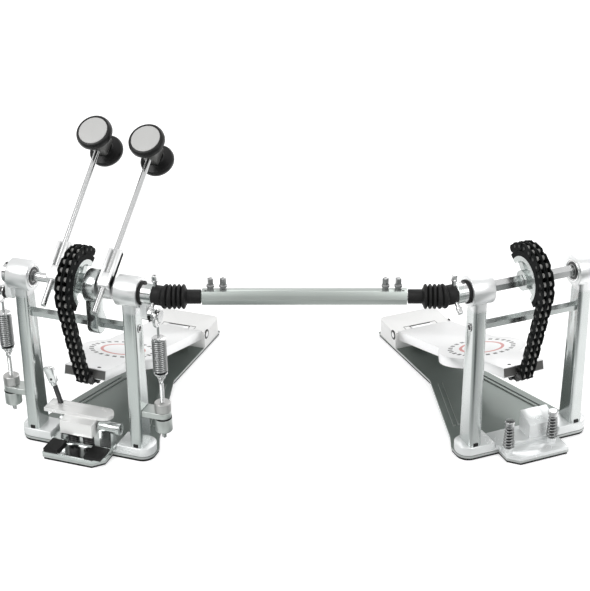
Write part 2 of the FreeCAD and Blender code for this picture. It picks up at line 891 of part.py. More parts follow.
# Cam: a rim over part of a turn with hub and spokes, under a black band
def cam_sector(name, pedal, outer, inner):
    start = math.radians(float(s.cam_sector_start))
    spoke = Vector(0, math.cos(start), math.sin(start))
    turn = Rotation(spoke, right.cross(spoke), right, "ZXY")
    low = point(pedal.hand * float(s.cam_at) - float(s.cam_half_width), 0, s.axle_height)
    discs = []
    for suffix, radius in (("_outer", outer), ("_inner", inner)):
        disc = doc.addObject("Part::Cylinder", name + suffix)
        bind(disc, Radius=radius, Height=s.cam_half_width * 2, Angle=s.cam_sector)
        disc.Placement = Placement(low, turn)
        discs.append(disc)
    return cut(name, discs[0], discs[1:])


def build_cam(pedal):
    name = pedal.name
    rim = cam_sector(name + "_rim", pedal, s.band_inner - s.seat_gap, s.rim_inner)
    near = s.cam_at - s.cam_hub_length / 2
    far = near + s.cam_hub_length
    hub = along_axle(name + "_cam_hub", pedal, s.cam_hub_radius, near, far)
    bore = along_axle(name + "_cam_bore", pedal, s.axle_radius + s.seat_gap, near, far)
    spokes = []
    for i, share in enumerate((0.05, 0.5, 0.95)):
        half, wide = s.spoke_thick / 2, s.spoke_width / 2
        spoke = box(f"{name}_spoke{i}", (-half, s.cam_hub_radius - s.spoke_root, -wide),
                    (half, s.rim_inner + s.spoke_root, wide))
        turn = Rotation(right, float(s.cam_sector_start) + float(s.cam_sector) * share)
        middle = Placement(point(pedal.hand * float(s.cam_at), 0, s.axle_height), turn)
        spoke.Placement = middle.multiply(spoke.Placement)
        spokes.append(spoke)
    solid = fuse(name + "_cam_solid", [rim, hub] + spokes)
    keep(name + "_cam", cut(name + "_cam", solid, [bore]), pedal.frame)


# Spring lever hanging from an axle, with the grooved roller that carries the spring
def lever_pieces(name, side):
    def bar(part, radius, low, high, z):
        start = low if side > 0 else -high
        return cylinder(f"{name}_{part}", radius, high - low, (start, 0, z), right)

    half = s.lever_width / 2
    collar = bar("collar", s.collar_radius, s.lever_at, lever_far, s.axle_height)
    foot = bar("foot", half, s.lever_at, lever_far, lever_pin_z)
    span = (s.lever_at, lever_far) if side > 0 else (-lever_far, -s.lever_at)
    arm = box(name + "_arm", (span[0], -half, lever_pin_z), (span[1], half, s.axle_height))
    core = bar("core", s.roller_groove, lever_far, lever_far + s.roller_length, lever_pin_z)
    near = bar("near", s.roller_flange, lever_far, lever_far + s.roller_flange_thick, lever_pin_z)
    end = lever_far + s.roller_length
    far = bar("far", s.roller_flange, end - s.roller_flange_thick / 3, end, lever_pin_z)
    return [collar, foot, arm, core, near, far]


# Half of a universal joint, built along +x with its centre at the origin
def yoke_pieces(name, frame, pin_upright):
    flange_back = -(s.yoke_flange_at + s.yoke_flange_thick)
    flange = cylinder(name + "_flange", s.yoke_flange, s.yoke_flange_thick, (flange_back, 0, 0), right)
    pieces = [flange]
    inner, outer = s.yoke_ear_inner, s.yoke_ear_inner + s.yoke_ear_thick
    for side, (low, high) in enumerate(((inner, outer), (-outer, -inner))):
        half = s.yoke_ear_half
        if pin_upright:
            ear = box(f"{name}_ear{side}", (-s.yoke_flange_at, -half, low), (s.yoke_ear_end, half, high))
        else:
            ear = box(f"{name}_ear{side}", (-s.yoke_flange_at, low, -half), (s.yoke_ear_end, high, half))
        pieces.append(ear)
    for piece in pieces:
        piece.Placement = frame.multiply(piece.Placement)
    return pieces


def yoke_bore(name, frame, pin_upright, radius):
    reach = s.yoke_ear_inner + s.yoke_ear_thick + 1
    direction = up if pin_upright else back
    start = direction * -float(reach)
    bore = cylinder(name + "_bore", radius, reach * 2, (start.x, start.y, start.z), direction)
    bore.Placement = frame.multiply(bore.Placement)
    return bore


def axle_yoke(name, hand):
    turn = Rotation() if hand > 0 else Rotation(up, 180)
    frame = Placement(point(hand * float(s.joint_offset), 0, s.axle_height), turn)
    bore = yoke_bore(name, frame, True, s.cross_pin_radius + s.run_clear)
    return yoke_pieces(name, frame, True), bore


def build_axles():
    middle = (s.bracket_from + s.bracket_to) / 2
    bar = along_axle("primary_axle_bar", primary, s.axle_radius, -s.axle_end, middle - s.axle_gap / 2)
    keep("primary_axle", fuse("primary_axle", [bar] + lever_pieces("primary_lever", -1)), primary.frame)
    flange_near = s.joint_offset - s.yoke_flange_at
    stub = along_axle("stub_bar", primary, s.axle_radius, middle + s.axle_gap / 2, flange_near)
    pieces, bore = axle_yoke("stub_yoke", 1)
    solid = fuse("stub_solid", [stub] + lever_pieces("stub_lever", 1) + pieces)
    keep("slave_stub_axle", cut("slave_stub_axle", solid, [bore]), primary.frame)
    bar = along_axle("slave_axle_bar", slave, s.axle_radius, -s.axle_end, flange_near)
    collar = along_axle("slave_axle_collar", slave, s.collar_radius, s.lever_at, lever_far)
    pieces, bore = axle_yoke("slave_yoke", -1)
    solid = fuse("slave_axle_solid", [bar, collar] + pieces)
    keep("slave_axle", cut("slave_axle", solid, [bore]), slave.frame)


# Crosses of the universal joints, square to the drive shaft at rest
def build_cross(name, frame):
    half, reach = s.cross_half, s.cross_pin_half
    core = box(name + "_core", (-half, -half, -half), (half, half, half))
    pins = [cylinder(f"{name}_pin{i}", s.cross_pin_radius, reach * 2, start, direction)
            for i, (start, direction) in enumerate((((0, 0, -reach), up), ((0, -reach, 0), back)))]
    keep(name, fuse(name, [core] + pins), frame)


# Drive shaft: a tube with one yoke, and a rod with the other that slides in the tube
def build_shaft():
    inward = Placement(Vector(), Rotation(up, 180))
    length = s.shaft_span - s.tube_margin * 2
    frame = shaft.start
    pieces = yoke_pieces("tube_yoke", inward, False)
    bore = yoke_bore("tube_yoke", inward, False, s.cross_pin_radius + s.cross_play)
    neck = cylinder("tube_neck", s.shaft_rod_radius, s.tube_margin - s.yoke_flange_at,
                    (s.yoke_flange_at, 0, 0), right)
    body = hexagon("tube_body", s.tube_radius, length, (s.tube_margin, 0, 0), right)
    body.Placement = body.Placement.multiply(Placement(Vector(), Rotation(up, 30)))
    end = s.tube_margin + length
    inside = cylinder("tube_inside", s.shaft_rod_radius + s.run_clear, s.tube_bore_depth,
                      (end, 0, 0), Vector(-1, 0, 0))
    flat = s.tube_radius * math.cos(math.radians(30))
    keys = []
    for i in (0, 1):
        for edge, sign in ((s.tube_margin, 1), (end, -1)):
            x = edge + (s.key_from_end + s.key_spacing * i) * sign
            label = f"shaft_key_{i}{sign + 1}"
            stem = cylinder(label + "_stem", s.key_radius, s.key_tall, (x, 0, flat - 1))
            head = cylinder(label + "_head", s.key_head_radius, s.key_head, (x, 0, flat - 1))
            keys += [stem, head]
    solid = fuse("tube_solid", pieces + [neck, body] + keys)
    keep("drive_shaft_tube", cut("drive_shaft_tube", solid, [inside, bore]), frame)
    pieces = yoke_pieces("rod_yoke", inward, False)
    bore = yoke_bore("rod_yoke", inward, False, s.cross_pin_radius + s.cross_play)
    rod = cylinder("rod_bar", s.shaft_rod_radius,
                   s.tube_margin - s.yoke_flange_at + s.shaft_rod_in_tube,
                   (s.yoke_flange_at, 0, 0), right)
    solid = fuse("rod_solid", pieces + [rod])
    keep("drive_shaft_rod", cut("drive_shaft_rod", solid, [bore]), shaft.end)


# A closed skin of flat facets through rings of points, each ring joined to the next
def facet(*corners):
    return Part.Face(Part.makePolygon(list(corners) + [corners[0]]))


def facets_between(here, there):
    faces = []
    for j in range(len(here)):
        k = (j + 1) % len(here)
        faces.append(facet(here[j], here[k], there[k]))
        faces.append(facet(here[j], there[k], there[j]))
    return faces


# Boot over a universal joint: cuff, bellows bent to the shaft, sleeve
def boot_profile():
    before = float(s.joint_offset) - float(s.cuff_to)
    start = float(s.cuff_from) - float(s.joint_offset)
    after, sleeve_end, wall = float(s.bellows_to), float(s.sleeve_to), float(s.boot_wall)
    count = int(float(s.bellows_ridges))
    pitch = (before + after) / count
    outside = [(start, float(s.cuff_outer)), (-before, float(s.cuff_outer))]
    for i in range(count):
        low = -before + pitch * i
        outside += [(low + pitch * 0.1, float(s.bellows_valley)), (low + pitch * 0.5, float(s.bellows_outer))]
    outside += [(after - pitch * 0.1, float(s.bellows_valley)), (after, float(s.sleeve_outer)),
                (sleeve_end, float(s.sleeve_outer))]
    inside = [(sleeve_end, float(s.sleeve_inner)), (after - wall, float(s.sleeve_inner)),
              (after - wall * 2, float(s.bellows_inner)), (before, float(s.bellows_inner)),
              (0, float(s.bellows_inner)), (wall / 2 - before, float(s.bellows_inner)),
              (-before, float(s.cuff_inner)), (start, float(s.cuff_inner))]
    return before, outside + inside


def build_boot(name, pedal, bend):
    centre = point(pedal.hand * float(s.joint_offset), 0, s.axle_height)
    inward = Vector(pedal.hand, 0, 0)
    before, profile = boot_profile()
    sides = int(float(s.boot_sides))
    rings = []
    for distance, radius in profile:
        axis = Rotation(up, bend if distance > 0 else 0).multVec(inward)
        share = min(1, max(0, (distance + before) / (2 * before)))
        facing = Rotation(up, bend * share).multVec(inward)
        sideways = up.cross(facing)
        spots = []
        for j in range(sides):
            angle = 2 * math.pi * j / sides
            spots.append(centre + axis * distance
                         + sideways * (radius * math.cos(angle)) + up * (radius * math.sin(angle)))
        rings.append(spots)
    faces = []
    for here, there in zip(rings, rings[1:] + rings[:1]):
        faces += facets_between(here, there)
    obj = doc.addObject("Part::Feature", name + "_rubber_boot")
    obj.Shape = Part.Solid(Part.Shell(faces))
    keep(name, obj, pedal.frame)


# Beater hub, rod and head, built upright over the axle and then leaned back
def leaned(pedal, x, lean):
    return pedal.frame.multiply(Placement(point(x, 0, s.axle_height), Rotation(right, -float(lean))))


def build_beater(name, x, lean):
    frame = leaned(primary, x, lean)
    half, deep = s.hub_half_width, s.hub_half_depth
    offset = s.rod_offset
    collar = cylinder(name + "_collar", s.hub_collar_radius, half * 2, (-half, 0, 0), right)
    sleeve = box(name + "_sleeve", (-half, -(offset + deep), -s.hub_below),
                 (half, deep - offset, s.hub_above))
    key = cylinder(name + "_key", s.hub_key_radius, s.hub_key_length,
                   (0, deep - offset - 1, s.hub_key_at), back)
    axle_bore = cylinder(name + "_axle_bore", s.axle_radius + s.seat_gap, half * 2, (-half, 0, 0), right)
    rod_bore = cylinder(name + "_rod_bore", s.rod_radius + s.run_clear, s.hub_above + s.hub_below,
                        (0, -offset, -s.hub_below))
    solid = fuse(name + "_hub_solid", [collar, sleeve, key])
    hub = cut(name + "_beater_hub", solid, [axle_bore, rod_bore])
    rod = cylinder(name + "_rod", s.rod_radius, s.rod_below + s.head_at + s.rod_seat,
                   (0, -offset, -s.rod_below))
    none = s.head_rim * 0
    front = s.head_half_length
    profile = [
        (none, front), (s.face_radius, front), (s.head_radius, front - s.head_edge),
        (s.head_radius, front - s.head_rim), (s.neck_radius, s.neck_half), (s.neck_radius, -s.neck_half),
        (s.head_back_radius, s.head_rim - front), (s.head_back_radius, s.head_edge - front),
        (s.head_dish, -front), (none, s.head_dish_depth - front)]
    head_body = turned(name + "_head_body", profile, (0, -offset, s.head_at), Vector(0, -1, 0))
    seat = cylinder(name + "_head_seat", s.rod_radius + s.seat_gap / 2, s.head_radius * 2,
                    (0, -offset, s.head_at + s.rod_seat + s.seat_gap), Vector(0, 0, -1))
    head = cut(name + "_beater_head", head_body, [seat])
    for label, obj in (("hub", hub), ("rod", rod), ("head", head)):
        keep(f"{name}_beater_{label}", obj, frame)


# Springs: coil with its lower hook, shackle on the lever's roller, and the adjuster below
def build_spring(name, side):
    x = side * float(s.spring_at)
    height = float(spring_top) - float(spring_bottom)
    wire = float(s.spring_wire)
    radius = float(s.spring_radius)
    pitch = (height - 2 * wire) / float(s.spring_turns)
    steps = int(float(s.spring_sides))
    coil = doc.addObject("Part::Feature", name + "_coil")
    coil.Shape = polygon_coil(radius, wire, pitch, int(float(s.spring_turns)), steps)
    coil.Placement = Placement(point(x, 0, float(spring_bottom) + wire), Rotation())
    hook_z = spring_eye + s.hook_radius
    hook = ring(name + "_hook", s.hook_radius, s.hook_wire, (x, 0, hook_z), back)
    foot = cylinder(name + "_foot", s.spring_radius, s.spring_wire * 2,
                    (x, 0, hook_z + s.hook_radius - s.hook_wire))
    keep(name, group(name, [fuse(name + "_hooked_end", [hook, foot]), coil]), primary.frame)

    ring_z = lever_pin_z + s.roller_groove + s.shackle_gap - (s.shackle_radius - s.shackle_wire)
    loop = ring(name + "_loop", s.shackle_radius, s.shackle_wire, (x, 0, ring_z), right)
    cap = cylinder(name + "_cap", s.shackle_cap_radius, s.shackle_cap, (x, 0, spring_top + s.seat_gap))
    stem_low = spring_top + s.seat_gap
    stem = cylinder(name + "_stem", s.shackle_wire, ring_z - s.shackle_radius - stem_low, (x, 0, stem_low))
    keep(name + "_shackle", fuse(name + "_shackle_solid", [loop, cap, stem]), primary.frame)


# A coil of square wire made of flat facets between square sections
def polygon_coil(radius, wire, pitch, turns, steps):
    rings = []
    for i in range(turns * steps + 1):
        angle = 2 * math.pi * i / steps
        z = pitch * i / steps
        rim = [(radius - wire, z - wire), (radius + wire, z - wire), (radius + wire, z + wire),
               (radius - wire, z + wire)]
        rings.append([Vector(r * math.cos(angle), r * math.sin(angle), h) for r, h in rim])

    faces = [facet(*reversed(rings[0])), facet(*rings[-1])]
    for here, there in zip(rings, rings[1:]):
        faces += facets_between(here, there)
    return Part.Solid(Part.Shell(faces))


def build_adjusters():
    pieces = []
    for side, word in ((-1, "outer"), (1, "inner")):
        name = word + "_adjuster"
        x = side * float(s.spring_at)
        low = tension_bracket_z
        high = low + s.tension_bracket_thick
        half = s.tension_bracket_half
        near, far = (post_outer, s.spring_at) if side > 0 else (-s.spring_at, -post_outer)
        arm = box(name + "_arm", (near, -half, low), (far, half, high))
        end = cylinder(name + "_end", half, s.tension_bracket_thick, (x, 0, low))
        hole = cylinder(name + "_hole", s.thread_radius + s.seat_gap, s.tension_bracket_thick, (x, 0, low))
        pieces.append(cut(name + "_bracket", fuse(name + "_bracket_solid", [arm, end]), [hole]))
        bore = s.thread_radius + s.seat_gap
        pieces.append(tube(name + "_nut", s.nut_radius, bore, s.nut_thick, (x, 0, high + s.seat_gap), up))
        pieces.append(tube(name + "_barrel", s.barrel_radius, bore, s.barrel_length,
                           (x, 0, low - s.seat_gap - s.barrel_length), up))
        thread = cylinder(name + "_thread", s.thread_radius, spring_eye - s.eye_hole - thread_low,
                          (x, 0, thread_low))
        plate = cylinder(name + "_eye", s.eye_plate_radius, s.eye_plate_thick,
                         (x - float(s.eye_plate_thick) / 2, 0, spring_eye), right)
        eye_hole = cylinder(name + "_eye_hole", s.eye_hole, s.eye_plate_thick * 2,
                            (x - float(s.eye_plate_thick), 0, spring_eye), right)
        pieces.append(cut(name + "_eyebolt", fuse(name + "_eyebolt_solid", [thread, plate]), [eye_hole]))
    keep("primary_tension_adjusters", group("primary_tension_adjusters", pieces), primary.frame)


# Centre bracket that carries the meeting ends of the two axles
def build_bracket():
    near, far = s.bracket_from, s.bracket_to
    width = far - near
    loop = cylinder("bracket_loop", s.bracket_ring, width, (near, 0, s.axle_height), right)
    leg = box("bracket_leg", (near, s.bracket_front, bracket_foot), (far, s.bracket_back, s.axle_height))
    bore = cylinder("bracket_bore", s.bearing_radius, width, (near, 0, s.axle_height), right)
    hole = cylinder("bracket_hole", s.crossbar_radius + s.seat_gap, width,
                    (near, 0, crossbar_z), right)
    solid = fuse("bracket_solid", [loop, leg])
    keep("primary_centre_bracket", cut("primary_centre_bracket", solid, [bore, hole]), primary.frame)


def bracket_screw():
    middle = (s.bracket_from + s.bracket_to) / 2
    return cylinder("bracket_screw", s.bracket_screw_radius, s.screw_head_length,
                    (middle, s.bracket_front, bracket_screw_z), Vector(0, -1, 0))


# Footboard, drawn flat with its hinge at the origin and its toe towards -y
def board_outline(inset):
    long = s.board_length
    return mirrored([
        (s.toe_half - inset, inset - long), (s.toe_half - inset, s.toe_length - long),
        (s.board_heel_half - inset, -s.board_heel_from_hinge),
        (s.board_heel_half - inset, -(s.board_heel_gap + inset))])


def toe_clip(pedal):
    first = run_pins[-1]
    pitch = float(s.chain_pitch)
    steep = Rotation(right, -board_tilt - float(s.clip_bend)).multVec(back)
    second = first + steep * pitch
    level = Rotation(right, -board_tilt).multVec(back)
    third = second + level * pitch
    pieces = [outer_link(first, second, [second], float(s.clip_reach))] + inner_link(second, third, [])
    ear_low = layers.pin_end + float(s.ear_gap)
    ear_high = ear_low + float(s.ear_thick)
    pieces.append(pin_solid(third, float(s.chain_pin), -ear_high, ear_high))
    high = third + Rotation(right, -board_tilt).multVec(up) * float(s.ear_rise)
    for low, top in ((-ear_high, -ear_low), (ear_low, ear_high)):
        pieces.append(link_plate(third, high, low, top))
    clip = doc.addObject("Part::Feature", pedal.name + "_toe_clip")
    clip.Shape = pieces[0].fuse(pieces[1:])
    clip.Placement = Placement(point(pedal.hand * float(s.cam_at), 0, 0), Rotation())
    return clip


def build_board(pedal):
    name = pedal.name
    body = doc.addObject("PartDesign::Body", name + "_board")
    low = -s.board_thick / 2
    none = s.board_wall * 0
    padded(body, name + "_board_slab", [board_outline(none)], s.board_thick, low)
    lobe = (0, -lobe_from_hinge)
    padded_disc(body, name + "_board_lobe", lobe, s.lobe_radius, s.board_thick, low)
    neck = rectangle(-s.knuckle_half, s.knuckle_half, -(s.board_heel_gap + s.neck_root), none)
    padded(body, name + "_board_neck", [neck], s.board_thick - s.neck_step * 2, low + s.neck_step)
    depth = s.board_thick - s.board_skin
    hollowed(body, name + "_board_hollow", lambda k: draw_outline(k, board_outline(s.board_wall)), depth, low)
    hollowed(body, name + "_lobe_hollow",
             lambda k: draw_circle(k, lobe, s.lobe_radius - s.board_wall), depth, low)
    slot_middle = pedal.hand * float(s.cam_at)
    slot = rectangle(slot_middle - float(s.toe_slot_half), slot_middle + float(s.toe_slot_half),
                     -(s.board_length + 1), s.toe_slot_length - s.board_length)
    hollowed(body, name + "_toe_slot", lambda k: draw_outline(k, slot), depth, low)
    tilt = Rotation(right, -board_tilt)
    body.Placement = Placement(point(0, hinge_y, s.hinge_height), tilt)
    spot = (-s.knuckle_half, hinge_y, s.hinge_height)
    knuckle = cylinder(name + "_knuckle", s.knuckle_radius, s.knuckle_half * 2, spot, right)
    bore = cylinder(name + "_knuckle_bore", s.hinge_pin_radius + s.run_clear, s.knuckle_half * 2, spot, right)
    clip = toe_clip(pedal)
    solid = fuse(name + "_board_solid", [body, knuckle, clip])
    keep(name + "_footboard", cut(name + "_footboard", solid, [bore]), pedal.frame)


# Front plates: a plate on the base plate's tongue, stepped up over the foot's recess
def front_plate(name, hand):
    half, corner = s.front_half, s.front_corner
    plan = [(-half, s.front_edge), (half - corner, s.front_edge), (half, s.front_edge + corner),
            (half, s.plate_front), (-half, s.plate_front)]
    if hand < 0:
        plan = [(-x, y) for x, y in reversed(plan)]
    sheet_piece = doc.addObject("PartDesign::Body", name + "_sheet")
    padded(sheet_piece, name + "_sheet_pad", [plan], s.front_thick, plate_top)
    step = box(name + "_step", (-half, s.tongue_front, plate_top),
               (half, s.plate_front, tongue_top))
    tongue = box(name + "_tongue", (-s.tongue_half, s.plate_front, recess_top),
                 (s.tongue_half, s.tongue_back, tongue_top))
    return [sheet_piece, step, tongue]


# Hoop clamp of the primary pedal: plate with towers, pads, jaw and screw
def build_clamp():
    pieces = front_plate("clamp", primary.hand)
    deep = s.tower_half_depth
    towers = (("right", s.tower_right_from, s.tower_right_to), ("left", s.tower_left_from, s.tower_left_to))
    for word, low, high in towers:
        pieces.append(box(f"clamp_tower_{word}", (low, s.pivot_at - deep, recess_top),
                          (high, s.pivot_at + deep, s.pivot_height)))
    axis = (s.pivot_at, s.pivot_height)
    barrels = ((s.barrel_from, s.barrel_to), (s.tower_left_from, s.tower_left_to))
    for i, (low, high) in enumerate(barrels):
        pieces.append(cylinder(f"clamp_barrel{i}", s.pivot_barrel, high - low, (low, *axis), right))
    length = s.barrel_to - s.tower_left_from
    bore = cylinder("clamp_bore", s.pivot_pin_radius + s.seat_gap, length, (s.tower_left_from, *axis), right)
    keep("clamp_plate", cut("clamp_plate", fuse("clamp_plate_solid", pieces), [bore]), primary.frame)

    pads = [box(f"grip_pad{i}", (low, s.grip_front, front_top), (high, s.grip_back, front_top + s.grip_thick))
            for i, (low, high) in enumerate(((s.grip_left_from, s.grip_left_to),
                                             (s.grip_right_from, s.grip_right_to)))]
    keep("clamp_pads", group("clamp_pads", pads), primary.frame)

    jaw = box("jaw_block", (s.jaw_from, s.jaw_front, s.jaw_bottom),
              (s.jaw_to, s.jaw_back, s.arm_bottom + 1))
    tip = (s.arm_back - s.arm_front) / 2
    arm = box("jaw_arm", (s.arm_from, s.arm_front, s.arm_bottom),
              (s.arm_to - tip, s.arm_back, s.arm_bottom + s.arm_thick))
    arm_end = cylinder("jaw_arm_end", tip, s.arm_thick, (s.arm_to - tip, s.arm_front + tip, s.arm_bottom))
    bore = cylinder("jaw_bore", s.pivot_pin_radius + s.run_clear, s.jaw_to - s.jaw_from,
                    (s.jaw_from, *axis), right)
    lean = Rotation(back, -float(s.clamp_screw_tilt)).multVec(up)
    foot_rise = s.swing_gap + s.clamp_screw_radius * math.sin(math.radians(float(s.clamp_screw_tilt)))
    foot = point(s.clamp_screw_foot, s.clamp_screw_at, tongue_top + foot_rise)
    hole = cylinder("jaw_hole", s.clamp_screw_radius + s.run_clear, s.clamp_screw_length, foot, lean)
    keep("clamp_jaw", cut("clamp_jaw", fuse("jaw_solid", [jaw, arm, arm_end]), [bore, hole]), primary.frame)

    stem = cylinder("screw_stem", s.clamp_screw_radius, s.clamp_screw_length, foot, lean)
    half = s.clamp_head_radius
    wing = box("screw_wing", (-half, -s.clamp_head_thick / 2, -s.clamp_head_tall / 2),
               (half, s.clamp_head_thick / 2, s.clamp_head_tall / 2))
    top = foot + lean * float(s.clamp_screw_length)
    wing.Placement = Placement(top, Rotation(back, -float(s.clamp_screw_tilt))).multiply(wing.Placement)
    keep("clamp_screw", fuse("clamp_screw", [stem, wing]), primary.frame)


def pivot_pin():
    inset = s.seat_gap * 10
    return cylinder("clamp_pivot_pin", s.pivot_pin_radius, s.barrel_to - s.tower_left_from - inset,
                    (s.tower_left_from, s.pivot_at, s.pivot_height), right)


# Anchor plate of the slave pedal with its block and two spur screws
def build_anchor():
    pieces = front_plate("anchor", slave.hand)
    low, high = -s.anchor_block_to, -s.anchor_block_from
    block = doc.addObject("PartDesign::Body", "anchor_block")
    outline = [(s.anchor_block_front, tongue_top - 1), (s.anchor_block_back, tongue_top - 1),
               (s.anchor_block_back, s.anchor_block_high), (s.anchor_block_front, s.anchor_block_low)]
    padded(block, "anchor_block_pad", [outline], high - low, None, "YZ_Plane")
    block.Placement = Placement(point(low, 0, 0), Rotation())
    bosses = [cylinder(f"spur_boss{i}", s.spur_boss_radius, s.spur_boss + s.front_thick,
                       (slave.hand * float(x), s.spur_at, plate_top))
              for i, x in enumerate((s.spur_inner_at, s.spur_outer_at))]
    holes = spur_holes("anchor_hole", plate_top, front_top + s.spur_boss)
    solid = fuse("anchor_solid", pieces + [block] + bosses)
    keep("anchor_plate", cut("anchor_plate", solid, holes), slave.frame)
    for word, x in (("inner", s.spur_inner_at), ("outer", s.spur_outer_at)):
        spot = (slave.hand * float(x), s.spur_at)
        point_length = s.spur_radius
        profile = [(s.spur_radius * 0, s.spur_tip), (s.spur_radius / 3, s.spur_tip),
                   (s.spur_radius, s.spur_tip + point_length), (s.spur_radius, s.spur_top - s.spur_head),
                   (s.spur_head_radius, s.spur_top - s.spur_head), (s.spur_head_radius, s.spur_top),
                   (s.spur_radius * 0, s.spur_top)]
        spur = turned(f"spur_{word}", profile, (*spot, 0), up)
        keep("anchor_spur_" + word, spur, slave.frame)


# Build both pedals
for pedal in (primary, slave):
    build_base(pedal)
    for side in (1, -1):
        build_post(pedal, side)
    build_crossbar(pedal)
    build_heel(pedal)
    build_cam(pedal)
    build_chain(pedal)
    build_board(pedal)
    keep(pedal.name + "_bearings", group(pedal.name + "_bearings", bearings(pedal)), pedal.frame)
    fasteners = crossbar_screws(pedal) + [hinge_pin(pedal)]
    if pedal is primary:
        fasteners += [bracket_screw(), pivot_pin()]
    keep(pedal.name + "_fasteners", group(pedal.name + "_fasteners", fasteners), pedal.frame)

build_bracket()
build_axles()
build_beater("primary", s.primary_beater_at, s.primary_lean)
build_beater("slave", s.slave_beater_at, s.slave_lean)
build_spring("primary_spring", -1)
build_spring("stub_spring", 1)
build_adjusters()
build_clamp()
build_anchor()
build_cross("stub_cross", shaft.start)
build_cross("slave_cross", shaft.end)
build_shaft()
build_boot("primary_boot", primary, float(s.primary_splay))
build_boot("slave_boot", slave, -float(s.slave_splay))

# Check every object, then write one file for each node
doc.recompute()
for obj in doc.Objects:
    if "Invalid" in obj.State or "Error" in obj.State:
        raise RuntimeError(f"{obj.Name} did not build: {obj.State}")
os.makedirs("parts", exist_ok=True)
for name, obj in nodes.items():
    shape = obj.Shape
    if shape.isNull() or not shape.isValid() or not shape.Solids:
        raise RuntimeError(f"{name} has no valid solid")
    shape.exportStep(f"parts/{name}.step")
print(f"{len(nodes)} nodes written")
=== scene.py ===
import bpy
import json
import math
from mathutils import Matrix, Vector
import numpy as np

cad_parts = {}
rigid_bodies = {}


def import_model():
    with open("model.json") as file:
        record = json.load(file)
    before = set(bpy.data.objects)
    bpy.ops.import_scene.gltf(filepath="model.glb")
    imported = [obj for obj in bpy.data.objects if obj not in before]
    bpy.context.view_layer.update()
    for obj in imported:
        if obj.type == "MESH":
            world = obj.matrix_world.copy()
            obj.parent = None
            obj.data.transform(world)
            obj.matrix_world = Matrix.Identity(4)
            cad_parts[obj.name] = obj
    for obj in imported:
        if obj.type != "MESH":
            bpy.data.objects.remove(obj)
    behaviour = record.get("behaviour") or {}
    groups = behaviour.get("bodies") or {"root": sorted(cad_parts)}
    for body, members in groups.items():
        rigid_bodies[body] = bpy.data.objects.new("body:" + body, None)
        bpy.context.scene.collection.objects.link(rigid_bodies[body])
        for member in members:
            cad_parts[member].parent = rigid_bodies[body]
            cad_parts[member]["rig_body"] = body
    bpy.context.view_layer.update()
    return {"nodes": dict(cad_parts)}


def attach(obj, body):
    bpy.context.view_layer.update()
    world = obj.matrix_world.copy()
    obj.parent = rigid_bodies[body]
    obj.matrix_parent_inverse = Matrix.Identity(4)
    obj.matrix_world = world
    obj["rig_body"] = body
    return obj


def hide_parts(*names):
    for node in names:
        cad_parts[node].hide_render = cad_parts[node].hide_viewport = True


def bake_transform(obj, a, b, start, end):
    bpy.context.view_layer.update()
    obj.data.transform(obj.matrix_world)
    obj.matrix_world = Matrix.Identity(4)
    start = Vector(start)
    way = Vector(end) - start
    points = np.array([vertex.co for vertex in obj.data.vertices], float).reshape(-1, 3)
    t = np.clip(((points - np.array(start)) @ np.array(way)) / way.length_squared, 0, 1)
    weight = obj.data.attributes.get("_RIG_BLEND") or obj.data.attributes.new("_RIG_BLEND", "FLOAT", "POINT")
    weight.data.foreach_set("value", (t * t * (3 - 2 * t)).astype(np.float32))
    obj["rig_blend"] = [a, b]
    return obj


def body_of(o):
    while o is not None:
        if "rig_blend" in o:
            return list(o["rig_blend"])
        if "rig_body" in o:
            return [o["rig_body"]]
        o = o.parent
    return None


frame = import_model()
nodes = frame["nodes"]
print("stage: frame loaded,", len(nodes), "nodes")

# places in millimetres and turns in degrees, as in the part's source
layout = {
    "axleHeight": 200,
    "primarySplay": 18.5,
    "slaveSplay": 23.2,
    "jointOffset": 104.5,
    "shaftSpan": 281.8,
    "camAt": 3.5,
}
mm = 0.001
axle = layout["axleHeight"]


def pick(look, keys):
    return [look[key] for key in keys.split()]


def metres(*place):
    return Vector(place) * mm


def moved(*place):
    return Matrix.Translation(metres(*place))


def turned(degrees, axis):
    return Matrix.Rotation(math.radians(degrees), 4, axis)


# the drive shaft's frame and both pedals' frames, turns and sides
shaftFrame = moved(layout["jointOffset"], 0, axle) @ turned(layout["primarySplay"], "Z")
slaveJoint = shaftFrame @ moved(layout["shaftSpan"], 0, 0) @ turned(layout["slaveSplay"], "Z")
frames = {"primary": Matrix.Identity(4), "slave": slaveJoint @ moved(layout["jointOffset"], 0, -axle)}
turns = {"primary": 0.0, "slave": math.radians(layout["primarySplay"] + layout["slaveSplay"])}
hands = {"primary": 1, "slave": -1}


# nodes: an input takes a value or the socket of another node
def feed(tree, socket, value):
    if isinstance(value, bpy.types.NodeSocket):
        tree.links.new(value, socket)
    else:
        socket.default_value = value


def addNode(tree, kind, *values, **named):
    node = tree.nodes.new("ShaderNode" + kind)
    for key, value in named.items():
        if key in node.bl_rna.properties:
            setattr(node, key, value)
        else:
            feed(tree, node.inputs[key], value)
    for socket, value in zip(node.inputs, values):
        feed(tree, socket, value)
    return node


def mathNode(tree, operation, *values):
    return addNode(tree, "Math", *values, operation=operation).outputs[0]


def product(tree, first, *others):
    for other in others:
        first = mathNode(tree, "MULTIPLY", first, other)
    return first


def mapRange(tree, value, start, end=(0.0, 1.0), kind="LINEAR"):
    limits = {"From Min": start[0], "From Max": start[1], "To Min": end[0], "To Max": end[1]}
    node = addNode(tree, "MapRange", interpolation_type=kind, Value=value, **limits)
    return node.outputs["Result"]


def opaque(tone):
    return tone if isinstance(tone, bpy.types.NodeSocket) else (*tone, 1)


def mixTone(tree, share, first, second):
    mix = addNode(tree, "Mix", data_type="RGBA", Factor=share, A=opaque(first), B=opaque(second))
    return mix.outputs["Result"]


